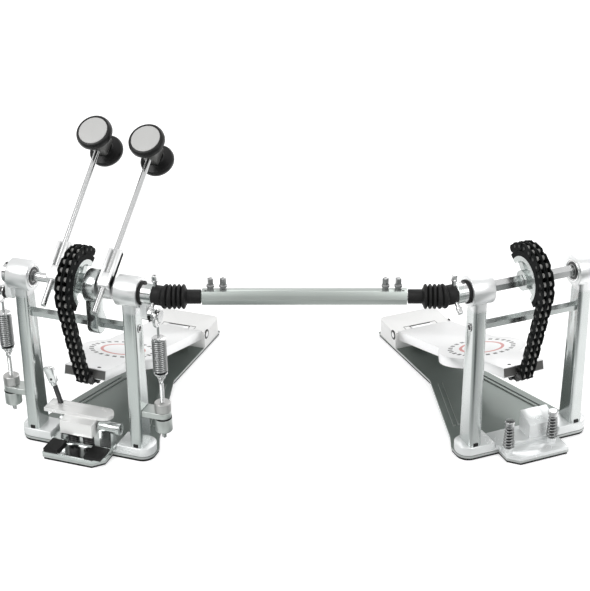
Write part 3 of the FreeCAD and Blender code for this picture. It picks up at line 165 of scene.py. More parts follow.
def splitAxes(tree, vector):
    parts = addNode(tree, "SeparateXYZ", Vector=vector).outputs
    return [parts[axis] for axis in "XYZ"]


def objectPlace(tree):
    return addNode(tree, "TexCoord").outputs["Object"]


# object coordinates seen from a place and a turn
def localPlace(tree, centre, turn):
    place = objectPlace(tree)
    mapping = addNode(tree, "Mapping", vector_type="TEXTURE", Vector=place, Location=centre, Rotation=turn)
    return mapping.outputs["Vector"]


def shaderInput(tree, name):
    return tree.nodes["Principled BSDF"].inputs[name]


def setShader(tree, values):
    for label, value in values.items():
        feed(tree, shaderInput(tree, label), value)


# lays a tone over the base colour where the mask is 1
def recolour(tree, mask, tone):
    base = shaderInput(tree, "Base Color")
    tree.links.new(mixTone(tree, mask, base.links[0].from_socket, tone), base)


def newMaterial(name):
    material = bpy.data.materials.new(name)
    material.use_nodes = True
    return material


# fine scratches from two stretched noises, plus soft blotches
wear = {
    "stretches": ((1.0, 0.06, 1.0), (0.06, 1.0, 0.5)), "fine": 900, "fineDetail": 3, "scratch": (0.5, 0.8),
    "broad": 28, "broadDetail": 4, "scratchShare": 0.5, "depth": 0.0001,
}


def makeFineWear():
    tree = bpy.data.node_groups.new("fineWear", "ShaderNodeTree")
    for label in ("Scratch", "Blotch"):
        tree.interface.new_socket(label, in_out="OUTPUT", socket_type="NodeSocketFloat")
    end = tree.nodes.new("NodeGroupOutput")
    place = objectPlace(tree)
    lines = []
    for stretch in wear["stretches"]:
        drawn = addNode(tree, "Mapping", Vector=place, Scale=stretch).outputs["Vector"]
        noise = addNode(tree, "TexNoise", Vector=drawn, Scale=wear["fine"], Detail=wear["fineDetail"])
        lines.append(noise.outputs["Fac"])
    blotch = addNode(tree, "TexNoise", Vector=place, Scale=wear["broad"], Detail=wear["broadDetail"])
    feed(tree, end.inputs["Scratch"], mapRange(tree, mathNode(tree, "MAXIMUM", *lines), wear["scratch"]))
    feed(tree, end.inputs["Blotch"], blotch.outputs["Fac"])
    return tree


fineWear = makeFineWear()


# a finish: base colour varied between two tones, roughness from scratches and blotches
def makeFinish(name, look):
    material = newMaterial(name)
    tree = material.node_tree
    marks = addNode(tree, "Group", node_tree=fineWear).outputs
    rough = mathNode(tree, "MULTIPLY_ADD", marks["Scratch"], wear["scratchShare"], marks["Blotch"])
    depth = look.get("bumpDepth", wear["depth"])
    bump = addNode(tree, "Bump", Height=marks["Scratch"], Strength=look["bump"], Distance=depth)
    setShader(tree, {
        "Base Color": mixTone(tree, marks["Blotch"], *look["tones"]),
        "Roughness": mapRange(tree, rough, (0.0, 1.0), look["rough"]),
        "Normal": bump.outputs["Normal"],
        "Metallic": look.get("metal", 0.0),
        "Coat Weight": look.get("coat", 0.0),
        "Specular IOR Level": look.get("specular", 0.5),
    })
    return material


finishes = {
    "polished": {"tones": ((0.86, 0.87, 0.87), (0.93, 0.93, 0.93)), "rough": (0.08, 0.2),
                 "metal": 1.0, "bump": 0.03},
    "satinCast": {"tones": ((0.52, 0.55, 0.53), (0.6, 0.63, 0.61)), "rough": (0.26, 0.36),
                  "metal": 0.8, "bump": 0.02},
    "whiteCast": {"tones": ((0.84, 0.85, 0.85), (0.9, 0.9, 0.9)), "rough": (0.26, 0.32),
                  "metal": 0.75, "bump": 0.01},
    "castMetal": {"tones": ((0.56, 0.59, 0.58), (0.66, 0.69, 0.68)), "rough": (0.17, 0.22),
                  "metal": 0.95, "bump": 0.002},
    "footCast": {"tones": ((0.82, 0.84, 0.84), (0.88, 0.9, 0.9)), "rough": (0.24, 0.28),
                 "metal": 0.35, "bump": 0.002},
    "jawWhite": {"tones": ((0.86, 0.86, 0.85), (0.92, 0.92, 0.91)), "rough": (0.24, 0.28),
                 "metal": 0.3, "bump": 0.003},
    "heelWhite": {"tones": ((0.84, 0.84, 0.83), (0.89, 0.89, 0.88)), "rough": (0.42, 0.48),
                  "metal": 0.1, "bump": 0.003, "specular": 0.25},
    "grip": {"tones": ((0.46, 0.46, 0.45), (0.58, 0.58, 0.57)), "rough": (0.3, 0.4),
             "metal": 0.8, "bump": 0.05},
    # dark metal of the beater hubs, also the colour of the painted reflection and shade at the toes and the
    # hinge
    "darkMetalAndShade": {"tones": ((0.09, 0.09, 0.088), (0.16, 0.16, 0.155)), "rough": (0.32, 0.42),
                 "metal": 0.6, "bump": 0.03},
    "brightSteel": {"tones": ((0.62, 0.63, 0.63), (0.76, 0.76, 0.76)), "rough": (0.12, 0.22),
                    "metal": 1.0, "bump": 0.006},
    "darkSteel": {"tones": ((0.05, 0.05, 0.052), (0.1, 0.1, 0.1)), "rough": (0.28, 0.45),
                  "metal": 0.9, "bump": 0.06},
    "chainBlack": {"tones": ((0.006, 0.007, 0.007), (0.016, 0.017, 0.017)), "rough": (0.3, 0.44),
                   "bump": 0.06, "specular": 0.02},
    "gunmetal": {"tones": ((0.17, 0.2, 0.185), (0.22, 0.245, 0.23)), "rough": (0.3, 0.44),
                 "metal": 0.55, "bump": 0.04, "coat": 0.15},
    "tubeSatin": {"tones": ((0.46, 0.5, 0.475), (0.5, 0.54, 0.515)), "rough": (0.3, 0.36),
                  "metal": 0.7, "bump": 0.004},
    "blackRubber": {"tones": ((0.006, 0.006, 0.006), (0.014, 0.014, 0.014)), "rough": (0.42, 0.62),
                    "bump": 0.18, "bumpDepth": 0.0003, "specular": 0.28},
    "matBlack": {"tones": ((0.006, 0.006, 0.006), (0.012, 0.012, 0.012)), "rough": (0.26, 0.4),
                 "bump": 0.06, "specular": 0.32},
    "paleFace": {"tones": ((0.5, 0.5, 0.49), (0.6, 0.6, 0.59)), "rough": (0.45, 0.6),
                 "bump": 0.12, "bumpDepth": 0.0002},
    "springWire": {"tones": ((0.3, 0.31, 0.31), (0.42, 0.42, 0.42)), "rough": (0.24, 0.4),
                   "metal": 1.0, "bump": 0.05},
}
made = {name: makeFinish(name, look) for name, look in finishes.items()}

# chain: black plates, and painted highlights on the rollers and the rivet ends, lightened where they glint, told
# apart by their place across the chain
chain = {
    "rollerAt": 3.4, "rollerHalf": 1.72, "rivetFrom": 7.32, "rivetGlintShare": 0.25, "bandRadius": 31.95,
    "tone": (0.3, 0.3, 0.29),
}


def makeChainFinish(name, word):
    material = makeFinish(name, finishes["chainBlack"])
    tree = material.node_tree
    centre = frames[word] @ metres(hands[word] * layout["camAt"], 0, axle)
    local = localPlace(tree, centre, (0, 0, turns[word]))
    across = mathNode(tree, "ABSOLUTE", splitAxes(tree, local)[0])
    roller = mathNode(tree, "COMPARE", across, chain["rollerAt"] * mm, chain["rollerHalf"] * mm)
    rivet = mathNode(tree, "GREATER_THAN", across, chain["rivetFrom"] * mm)
    # painted highlight: the rollers are lightened in full, the rivet ends by a share
    bright = mathNode(tree, "MAXIMUM", roller, product(tree, rivet, chain["rivetGlintShare"]))
    # the band under the chain stays black
    flat = addNode(tree, "VectorMath", local, (0, 1, 1), operation="MULTIPLY").outputs["Vector"]
    far = addNode(tree, "VectorMath", flat, operation="LENGTH").outputs["Value"]
    beyond = mathNode(tree, "GREATER_THAN", far, chain["bandRadius"] * mm)
    recolour(tree, product(tree, bright, beyond), chain["tone"])
    return material


# the base plates are dark on top and bare metal round their cut edge
plateEdge = {"tone": (0.5, 0.52, 0.51), "upright": 0.5}


def brightenEdge(tree):
    normal = addNode(tree, "NewGeometry").outputs["Normal"]
    level = mathNode(tree, "ABSOLUTE", splitAxes(tree, normal)[2])
    recolour(tree, mathNode(tree, "LESS_THAN", level, plateEdge["upright"]), plateEdge["tone"])


# the posts' bearing housings are blasted paler and duller than the bars below them
housing = {"from": 176, "fade": 4, "tone": (0.86, 0.87, 0.87), "rough": 0.36}


def blastHousing(tree):
    height = splitAxes(tree, objectPlace(tree))[2]
    share = mapRange(tree, height, (housing["from"] * mm, (housing["from"] + housing["fade"]) * mm))
    recolour(tree, share, housing["tone"])
    rough = shaderInput(tree, "Roughness")
    old = rough.links[0].from_socket
    mix = addNode(tree, "Mix", data_type="FLOAT", Factor=share, A=old, B=housing["rough"])
    tree.links.new(mix.outputs["Result"], rough)


# footboards: polished, with a plain ring of dashes and a red ring on the round lobe
boardMark = {
    "lobeFromHinge": 157, "topFrom": 4.5, "dashRing": 36, "dashHalf": 2.6, "dashes": 26, "dashFrom": -0.1,
    "redRing": 24, "redHalf": 1.8, "dark": (0.05, 0.05, 0.05), "red": (0.62, 0.2, 0.18),
    "clipFrom": 67.6, "clipHalf": 10.7, "clipBelow": 2.6, "clip": (0.018, 0.018, 0.018),
}
# the footboards' hinge, slope and size
board = {"hinge": (0, 243, 22), "tilt": 16.2, "length": 255, "half": 5.75}


# a footboard's own frame, from its hinge along the board
def boardFrame(word):
    return frames[word] @ moved(*board["hinge"]) @ turned(-board["tilt"], "X")


def makeBoardFinish(name, word):
    material = makeFinish(name, finishes["whiteCast"])
    tree = material.node_tree
    centre = boardFrame(word) @ metres(0, -boardMark["lobeFromHinge"], 0)
    x, y, z = splitAxes(tree, localPlace(tree, centre, (-math.radians(board["tilt"]), 0, turns[word])))
    square = mathNode(tree, "ADD", product(tree, x, x), product(tree, y, y))
    reach = mathNode(tree, "SQRT", square)
    top = mathNode(tree, "GREATER_THAN", z, boardMark["topFrom"] * mm)
    wave = mathNode(tree, "SINE", product(tree, mathNode(tree, "ARCTAN2", y, x), boardMark["dashes"]))
    dash = mathNode(tree, "GREATER_THAN", wave, boardMark["dashFrom"])
    ring = mathNode(tree, "COMPARE", reach, boardMark["dashRing"] * mm, boardMark["dashHalf"] * mm)
    inner = mathNode(tree, "COMPARE", reach, boardMark["redRing"] * mm, boardMark["redHalf"] * mm)
    # the clip in the toe's slot is black like the chain
    aside = mathNode(tree, "COMPARE", x, hands[word] * layout["camAt"] * mm, boardMark["clipHalf"] * mm)
    ahead = mathNode(tree, "LESS_THAN", y, -boardMark["clipFrom"] * mm)
    below = mathNode(tree, "LESS_THAN", z, boardMark["clipBelow"] * mm)
    masks = {
        "dark": product(tree, dash, ring, top),
        "red": product(tree, inner, top),
        "clip": product(tree, aside, ahead, below),
    }
    marked = 0.0
    for key, mask in masks.items():
        recolour(tree, mask, boardMark[key])
        marked = mathNode(tree, "MAXIMUM", marked, mask)
    bare = mathNode(tree, "SUBTRACT", 1.0, marked)
    tree.links.new(product(tree, bare, finishes["whiteCast"]["metal"]), shaderInput(tree, "Metallic"))
    return material


brightenEdge(made["gunmetal"].node_tree)
made["postCast"] = makeFinish("postCast", finishes["castMetal"])
blastHousing(made["postCast"].node_tree)
for word in frames:
    made[word + "Chain"] = makeChainFinish(word + "Chain", word)
    made["board" + word.capitalize()] = makeBoardFinish("board" + word.capitalize(), word)
print("stage: materials made")

# finish of the CAD nodes that stay in sight, by the ending of their names
nodeFinish = {
    "base_plate": "gunmetal", "base_pad": "blackRubber", "clamp_pads": "blackRubber",
    "cam": "castMetal", "crossbar": "castMetal", "fasteners": "darkSteel",
}


def finishFor(node):
    if "_chain_" in node:
        return "primaryChain" if node.startswith("primary") else "slaveChain"
    return next((finish for ending, finish in nodeFinish.items() if node.endswith(ending)), "brightSteel")


for name, node in nodes.items():
    node.data.materials.clear()
    node.data.materials.append(made[finishFor(name)])


# modelling helpers, in millimetres: each leaves one object, placed in its own mesh
def choose(obj):
    bpy.ops.object.select_all(action="DESELECT")
    obj.select_set(True)
    bpy.context.view_layer.objects.active = obj


def openMesh(obj):
    choose(obj)
    bpy.ops.object.mode_set(mode="EDIT")
    bpy.ops.mesh.select_all(action="SELECT")


def closeMesh():
    bpy.ops.mesh.select_all(action="SELECT")
    bpy.ops.mesh.normals_make_consistent(inside=False)
    bpy.ops.object.mode_set(mode="OBJECT")


def linked(name, data):
    obj = bpy.data.objects.new(name, data)
    bpy.context.scene.collection.objects.link(obj)
    return obj


def added(name, operator, **values):
    bpy.ops.object.select_all(action="DESELECT")
    operator(**values)
    bpy.context.object.name = name
    return bpy.context.object


def startRing(name, sides, radius, fill="NGON"):
    return added(name, bpy.ops.mesh.primitive_circle_add, vertices=sides, radius=radius * mm, fill_type=fill)


def placed(obj, matrix):
    obj.matrix_world = matrix
    choose(obj)
    bpy.ops.object.transform_apply(location=True, rotation=True, scale=True)
    return obj


def joined(name, pieces):
    choose(pieces[0])
    for piece in pieces[1:]:
        piece.select_set(True)
    bpy.ops.object.join()
    pieces[0].name = name
    return pieces[0]


# a frame at a place whose Z runs along a direction
def aimed(place, direction):
    return moved(*place) @ Vector(direction).to_track_quat("Z", "Y").to_matrix().to_4x4()


def alongX(word, x, y, z, sign):
    return frames[word] @ aimed((x, y, z), (sign, 0, 0))


# stands an outline of (y, z) pairs upright, its thickness along X
upright = Matrix(((0, 0, 1, 0), (1, 0, 0, 0), (0, 1, 0, 0), (0, 0, 0, 1)))


# sides of the round pieces and steps of the round ends
facets = {
    "large": 64, "boss": 56, "usual": 48, "knob": 40, "small": 32, "thin": 24, "wire": 20, "ring": 16,
    "hex": 6, "arc": 15, "wideArc": 17,
}


def extrude(height):
    bpy.ops.mesh.extrude_region_move(TRANSFORM_OT_translate={"value": (0, 0, height * mm)})


# a turned piece along +Z from (radius, height) pairs
def lathe(name, profile, sides="usual"):
    obj = startRing(name, facets[sides], profile[0][0])
    openMesh(obj)
    bpy.ops.transform.translate(value=(0, 0, profile[0][1] * mm))
    for (radius, height), (nextRadius, nextHeight) in zip(profile, profile[1:]):
        extrude(nextHeight - height)
        share = nextRadius / radius
        bpy.ops.transform.resize(value=(share, share, 1), center_override=(0, 0, nextHeight * mm))
    closeMesh()
    return obj


def peg(name, radius, low, high, sides="thin"):
    return lathe(name, [(radius, low), (radius, high)], sides)


# a disc whose two rims are eased
def disc(name, look, low, high):
    radius, inset, step = pick(look, "radius inset step")
    profile = [(radius - inset, low), (radius, low + step), (radius, high - step), (radius - inset, high)]
    return lathe(name, profile, look["sides"])


def bevelled(obj, width, segments=3, angle=30):
    choose(obj)
    bevel = obj.modifiers.new("softEdges", "BEVEL")
    bevel.width = width * mm
    bevel.segments = segments
    bevel.limit_method = "ANGLE"
    bevel.angle_limit = math.radians(angle)
    bpy.ops.object.modifier_apply(modifier=bevel.name)
    return obj


# a flat piece with the given outline
def slab(name, outline, low, high, bevel=0.0):
    obj = startRing(name, len(outline), 1.0)
    for vertex, (x, y) in zip(obj.data.vertices, outline):
        vertex.co = (x * mm, y * mm, low * mm)
    openMesh(obj)
    extrude(high - low)
    closeMesh()
    return bevelled(obj, bevel) if bevel else obj


def block(name, low, high, bevel=0.0):
    outline = [(low[0], low[1]), (high[0], low[1]), (high[0], high[1]), (low[0], high[1])]
    return slab(name, outline, low[2], high[2], bevel)


def arcPoints(centre, radius, start, end, steps="arc"):
    count = facets[steps]
    angles = [math.radians(start + (end - start) * i / (count - 1)) for i in range(count)]
    return [(centre[0] + radius * math.cos(a), centre[1] + radius * math.sin(a)) for a in angles]


# a wire coil standing on +Z, its ends closed
def coil(name, radius, wire, pitch, count, steps=24, sides=10):
    obj = startRing(name, sides, wire, "NOTHING")
    placed(obj, moved(radius, 0, 0) @ turned(90, "X"))
    screw = obj.modifiers.new("turns", "SCREW")
    screw.screw_offset = pitch * mm
    screw.iterations = count
    screw.steps = steps
    screw.render_steps = steps
    choose(obj)
    bpy.ops.object.modifier_apply(modifier=screw.name)
    openMesh(obj)
    bpy.ops.mesh.select_all(action="DESELECT")
    bpy.ops.mesh.select_non_manifold()
    bpy.ops.mesh.fill_holes(sides=0)
    closeMesh()
    return obj


def hoop(name, radius, wire, sides="usual"):
    return added(name, bpy.ops.mesh.primitive_torus_add, major_radius=radius * mm, minor_radius=wire * mm,
                 major_segments=facets[sides], minor_segments=facets["ring"])


# a screw thread standing on +Z: a rod with a fine ridge wound round it
threadShape = {"tip": 0.8, "taper": 0.3, "start": 1.5, "steps": 16, "sides": 4}


def threaded(name, look, low, high):
    radius, rise, pitch = pick(look, "radius rise pitch")
    tip, taper = radius * threadShape["tip"], radius * threadShape["taper"]
    rod = lathe(name + "_rod", [(tip, low), (radius, low + taper), (radius, high)], "thin")
    count = int((high - low - 2 * rise) / pitch)
    ridge = coil(name + "_ridge", radius, rise, pitch, count, threadShape["steps"], threadShape["sides"])
    placed(ridge, moved(0, 0, low + rise * threadShape["start"]))
    return joined(name, [rod, ridge])


def knurled(name, look):
    outline = []
    for i in range(look["count"] * 2):
        angle = math.pi * i / look["count"]
        reach = look["radius"] + (look["rise"] if i % 2 else 0)
        outline.append((reach * math.cos(angle), reach * math.sin(angle)))
    return slab(name, outline, look["low"], look["high"])


def dress(obj, finish, angle=35):
    choose(obj)
    bpy.ops.object.shade_smooth_by_angle(angle=math.radians(angle))
    obj.data.materials.clear()
    obj.data.materials.append(made[finish])


def finishPiece(obj, body, finish, *instead, angle=35):
    dress(obj, finish, angle)
    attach(obj, body)
    if instead:
        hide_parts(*instead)


# a coil over a place, from low to high, that stretches between two bodies
def stretchCoil(name, look, place, finish, bodies, *instead):
    low, high, radius, wire, count = pick(look, "low high radius wire turns")
    obj = coil(name, radius, wire, (high - low - 2 * wire) / count, count)
    slim = (radius - look.get("narrow", radius)) * mm
    for vertex in obj.data.vertices:
        reach = math.hypot(vertex.co.x, vertex.co.y)
        share = (reach - slim * vertex.co.z / ((high - low) * mm)) / reach
        vertex.co.x *= share
        vertex.co.y *= share
    placed(obj, Matrix.Translation(place) @ moved(0, 0, low + wire))
    dress(obj, finish)
    if instead:
        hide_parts(*instead)
    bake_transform(obj, *bodies, place + metres(0, 0, low), place + metres(0, 0, high))


# softened copies of cast and pressed parts: width of the bevel and finish
softening = {
    (1.2, "boardPrimary"): ["primary_footboard"],
    (1.2, "boardSlave"): ["slave_footboard"],
    (1.2, "heelWhite"): ["primary_heel_plate", "slave_heel_plate"],
    (1.0, "footCast"): ["primary_foot", "slave_foot"],
    (0.9, "postCast"): ["primary_outer_post", "primary_inner_post", "slave_outer_post", "slave_inner_post"],
    (0.5, "castMetal"): ["clamp_plate"],
    (1.9, "jawWhite"): ["clamp_jaw"],
    (0.5, "footCast"): ["anchor_plate"],
    (1.0, "tubeSatin"): ["drive_shaft_tube"],
}
softMesh = {"weld": 0.000002, "flat": 4, "segments": 2, "corner": 40}


def softCopy(node, width, finish):
    source = nodes[node]
    obj = linked(node + "_soft", source.data.copy())
    openMesh(obj)
    bpy.ops.mesh.remove_doubles(threshold=softMesh["weld"])
    bpy.ops.mesh.dissolve_limited(angle_limit=math.radians(softMesh["flat"]))
    closeMesh()
    bevelled(obj, width, softMesh["segments"], softMesh["corner"])
    finishPiece(obj, body_of(source)[0], finish, node)


# the toes stand wider towards the drive shaft
toe = {"from": 190, "inside": 12, "wider": 5}


def widenToe(word):
    hand, ownFrame = hands[word], boardFrame(word)
    back = ownFrame.inverted()
    inside = (toe["inside"] + layout["camAt"]) * mm
    for vertex in bpy.data.objects[word + "_footboard_soft"].data.vertices:
        local = back @ vertex.co
        if local.y < -toe["from"] * mm and hand * local.x > inside:
            local.x += hand * toe["wider"] * mm
            vertex.co = ownFrame @ local


for (width, finish), copied in softening.items():
    for node in copied:
        softCopy(node, width, finish)
for word in frames:
    widenToe(word)
print("stage: softened copies made")

# beater heads: pale striking face, black rim, hub block and dished rear disc
beaters = {
    "primary": {"at": -21, "lean": 50.3, "body": "primary_beater", "axle": "primary_axle"},
    "slave": {"at": 38, "lean": 52.8, "body": "slave_beater", "axle": "slave_stub_axle"},
}
head = {
    "rodOffset": 12, "height": 162, "hubHalf": (8.0, 11.4, 10.5), "hubBevel": 2.6,
    "rim": [(9.0, 11.0), (10.5, 13.0), (18.6, 15.6), (19.9, 17.0), (20.0, 20.5), (19.4, 22.9),
            (18.2, 24.2), (16.6, 24.4), (16.1, 23.8)],
    "face": [(16.1, 23.4), (16.1, 24.2), (15.7, 24.7), (14.7, 24.95), (8.0, 25.0)],
    "rear": [(9.0, 11.0), (10.0, 13.5), (17.6, 15.8), (18.8, 17.4), (19.0, 20.0), (18.4, 22.4),
             (16.8, 23.9), (14.6, 24.5), (12.6, 24.4), (11.4, 23.2), (4.0, 22.2)],
}


def leanFrame(beater):
    return moved(beater["at"], 0, axle) @ turned(-beater["lean"], "X")


def makeHead(word, beater):
    ownFrame, body = leanFrame(beater), beater["body"]
    centre = (0, -head["rodOffset"], head["height"])
    facing, away = (ownFrame @ aimed(centre, (0, y, 0)) for y in (-1, 1))
    rim = placed(lathe(word + "_head_rim", head["rim"], "large"), facing)
    rear = placed(lathe(word + "_head_rear", head["rear"], "large"), away)
    finishPiece(joined(word + "_head_black", [rim, rear]), body, "matBlack", word + "_beater_head")
    core = block(word + "_head_hub", [-half for half in head["hubHalf"]], head["hubHalf"], head["hubBevel"])
    finishPiece(placed(core, ownFrame @ moved(*centre)), body, "darkMetalAndShade")
    finishPiece(placed(lathe(word + "_head_face", head["face"], "large"), facing), body, "paleFace")


for word, beater in beaters.items():
    makeHead(word, beater)
print("stage: beater heads made")

# springs that stretch between their hook and the shackle on the roller
springs = {"primary_spring": -1, "stub_spring": 1}
spring = {
    "at": 92, "low": 109, "high": 148, "radius": 6.8, "wire": 1.1, "turns": 16,
    "eye": 100, "hookRadius": 4.2, "hookWire": 1.2,
    "ringHeight": 173.3, "ringRadius": 9, "ringWire": 1.5,
    "cap": {"radius": 7.4, "inset": 0.74, "step": 0.44, "sides": "small"}, "capThick": 2.2,
}


def makeSpring(name, side):
    low, high, thick, ringHeight, ringRadius = pick(spring, "low high capThick ringHeight ringRadius")
    x, shackle = side * spring["at"], name + "_shackle"
    stretchCoil(name + "_coil", spring, metres(x, 0, 0), "springWire", (name, shackle), name)
    hook = hoop(name + "_hook", spring["hookRadius"], spring["hookWire"])
    placed(hook, aimed((0, 0, spring["eye"] + spring["hookRadius"]), (0, 1, 0)))
    foot = joined(name + "_foot", [hook, disc(name + "_cap", spring["cap"], low - thick, low)])
    finishPiece(placed(foot, moved(x, 0, 0)), name, "brightSteel")
    loop = hoop(name + "_loop", ringRadius, spring["ringWire"])
    placed(loop, aimed((0, 0, ringHeight), (1, 0, 0)))
    stem = peg(name + "_stem", spring["ringWire"], high + thick / 2, ringHeight - ringRadius, "wire")
    lid = disc(name + "_lid", spring["cap"], high, high + thick)
    upper = joined(shackle + "_soft", [loop, lid, stem])
    finishPiece(placed(upper, moved(x, 0, 0)), shackle, "brightSteel", shackle)


for name, side in springs.items():
    makeSpring(name, side)
print("stage: springs made")

# rubber boots over the universal joints, bent at the joint
boot = {
    "start": -15, "cuffEnd": -4, "bellowsEnd": 19.5, "sleeveEnd": 35, "bendHalf": 4.5,
    "cuff": 10.5, "ridge": 13.0, "valley": 10.0, "sleeve": 7.5, "ridges": 5, "steps": 10,
    "cuffRim": 0.6, "cuffStep": 0.4, "neck": 1.2, "sleeveRim": 0.5, "fullness": 0.7,
}
bends = {"primary": layout["primarySplay"], "slave": -layout["slaveSplay"]}


def bootProfile():
    start, cuff, cuffEnd, rim, valley, ridges = pick(boot, "start cuff cuffEnd cuffRim valley ridges")
    profile = [(cuff - rim, start), (cuff, start + rim), (cuff, cuffEnd - boot["cuffStep"])]
    length = boot["bellowsEnd"] - cuffEnd
    count = ridges * boot["steps"]
    for i in range(count + 1):
        wave = abs(math.sin(math.pi * ridges * i / count)) ** boot["fullness"]
        profile.append((valley + (boot["ridge"] - valley) * wave, cuffEnd + length * i / count))
    end, sleeve, rim = pick(boot, "sleeveEnd sleeve sleeveRim")
    return profile + [(sleeve, boot["bellowsEnd"] + boot["neck"]), (sleeve, end - rim), (sleeve - rim, end)]


def makeBoot(word, degrees):
    obj = lathe(word + "_boot_soft", bootProfile(), "boss")
    half, bend = boot["bendHalf"] * mm, math.radians(degrees)
    inward = Vector((hands[word], 0, 0))
    for vertex in obj.data.vertices:
        sideways, upwards, distance = vertex.co
        share = min(1, max(0, (distance + half) / (2 * half)))
        along = Matrix.Rotation(bend if distance > 0 else 0, 3, "Z") @ inward
        facing = Matrix.Rotation(bend * share, 3, "Z") @ inward
        across = Vector((0, 0, 1)).cross(facing)
        vertex.co = along * distance + across * sideways + Vector((0, 0, upwards))
    openMesh(obj)
    closeMesh()
    placed(obj, frames[word] @ moved(hands[word] * layout["jointOffset"], 0, axle))
    finishPiece(obj, word + "_frame", "blackRubber", word + "_boot", angle=60)


for word, degrees in bends.items():
    makeBoot(word, degrees)
print("stage: boots made")

# tension adjusters: bracket, knurled nut, barrel and threaded eyebolt
adjuster = {
    "at": 92, "postFace": 70.5, "bracketSpan": (54, 61), "bracketHalf": 9, "bracketBevel": 0.8,
    "nut": [(8.0, 61.0), (8.8, 61.6), (8.8, 71.4), (8.0, 72.0)],
    "grip": {"radius": 8.8, "rise": 0.2, "low": 62.2, "high": 70.8, "count": 36},
    "barrel": [(8.6, 37.0), (9.4, 37.9), (9.4, 52.4), (9.2, 52.7)],
    "washer": [(9.3, 52.6), (9.45, 52.8), (9.45, 53.8), (9.3, 54.0)],
    "thread": {"radius": 2.3, "rise": 0.35, "pitch": 1.4}, "threadLow": 28, "threadHigh": 95,
    "eyeHeight": 100, "eyeRadius": 3.8, "eyeWire": 1.25,
}


def makeAdjuster(word, side):
    name, half = word + "_adjuster", adjuster["bracketHalf"]
    near = side * (adjuster["postFace"] - adjuster["at"])
    tip = arcPoints((0, 0), half, -90 * side, -90 * side + 180, "wideArc")
    outline = [(near, -half * side)] + tip + [(near, half * side)]
    arm = slab(name + "_bracket", outline, *adjuster["bracketSpan"], adjuster["bracketBevel"])
    barrel = lathe(name + "_barrel", adjuster["barrel"])
    nut = lathe(name + "_nut", adjuster["nut"])
    grip = knurled(name + "_grip", adjuster["grip"])
    bolt = threaded(name + "_bolt", adjuster["thread"], adjuster["threadLow"], adjuster["threadHigh"])
    eye = hoop(name + "_eye", adjuster["eyeRadius"], adjuster["eyeWire"])
    placed(eye, aimed((0, 0, adjuster["eyeHeight"]), (1, 0, 0)))
    pieces = [
        (joined(name + "_pale", [arm, barrel]), "satinCast", ["primary_tension_adjusters"]),
        (joined(name + "_knurled", [nut, grip]), "grip", []),
        (joined(name + "_bright", [bolt, eye]), "brightSteel", []),
        (lathe(name + "_washer", adjuster["washer"], "small"), "blackRubber", []),
    ]
    for piece, finish, instead in pieces:
        finishPiece(placed(piece, moved(side * adjuster["at"], 0, 0)), "primary_frame", finish, *instead)


makeAdjuster("outer", -1)
makeAdjuster("inner", 1)
print("stage: adjusters made")

# round pieces along the axles: seals, collars, spring rollers and the slave axle's hexagonal bar
seal = {"radius": 12.7, "span": (75.6, 78.2), "height": axle, "inset": 0.4, "step": 0.5, "sides": "usual"}
collar = {"radius": 10.9, "span": (78.3, 89.8), "height": axle, "inset": 0.6, "step": 0.6, "sides": "usual"}
roller = {"radius": 6.8, "span": (83.2, 87.8), "height": 176, "inset": 0.8, "step": 0.8, "sides": "knob"}
axleBar = {"radius": 6.8, "height": axle, "inset": 0.5, "step": 0.5, "sides": "hex"}
barSpans = [(-48.5, -12), (5, 48.5)]
setScrew = {"radius": 2.2, "at": 80.5, "low": 10.4, "high": 11.2}


def alongAxle(name, word, look, side, body, finish):
    start, end = look["span"]
    obj = disc(name, look, 0, end - start)
    finishPiece(placed(obj, alongX(word, side * start, 0, look["height"], side)), body, finish)


def makeSeal(word, side, body):
    alongAxle(f"{word}_seal_{body}", word, seal, side, body, "blackRubber")
    dot = peg(f"{word}_set_{body}", setScrew["radius"], axle + setScrew["low"], axle + setScrew["high"])
    finishPiece(placed(dot, frames[word] @ moved(side * setScrew["at"], 0, 0)), body, "matBlack")


# pale crank arms that hang from the axles and carry the spring rollers
crankArm = {"span": (75.85, 83.15), "end": 6.25, "half": 7.2, "bevel": 0.5}


def makeCrankArm(side, body):
    tip = arcPoints((0, roller["height"]), crankArm["end"], 180, 360)
    outline = [(-crankArm["half"], axle)] + tip + [(crankArm["half"], axle)]
    span = sorted(side * edge for edge in crankArm["span"])
    obj = slab(body + "_arm", outline, *span, crankArm["bevel"])
    finishPiece(placed(obj, upright), body, "footCast")


for word, side, body in (("primary", 1, "slave_stub_axle"), ("slave", -1, "slave_axle")):
    alongAxle(f"{word}_collar_{body}", word, collar, side, body, "castMetal")
    makeSeal(word, side, body)
makeSeal("primary", -1, "primary_axle")
for i, span in enumerate(barSpans):
    alongAxle(f"slave_axle_bar{i}", "slave", {**axleBar, "span": span}, 1, "slave_axle", "brightSteel")
for side, body in ((-1, "primary_axle"), (1, "slave_stub_axle")):
    alongAxle(body + "_roller", "primary", roller, side, body, "blackRubber")
    makeCrankArm(side, body)

# a drum key screw standing on +Z: stem, flange and square head, their heights below and above its top
drumKey = {
    "radius": 2.2, "flange": [(2.2, -4), (3.3, -4), (3.3, -2.6), (2.4, -2.4)],
    "half": 2.4, "headHalf": 3, "bevel": 0.5,
}


def keyScrew(name, low, high):
    half, tall = drumKey["half"], drumKey["headHalf"]
    profile = [(drumKey["radius"], low)] + [(radius, high + height) for radius, height in drumKey["flange"]]
    stem = lathe(name + "_stem", profile, "thin")
    top = block(name + "_top", (-half, -half, high - tall), (half, half, high + tall), drumKey["bevel"])
    return joined(name, [stem, top])


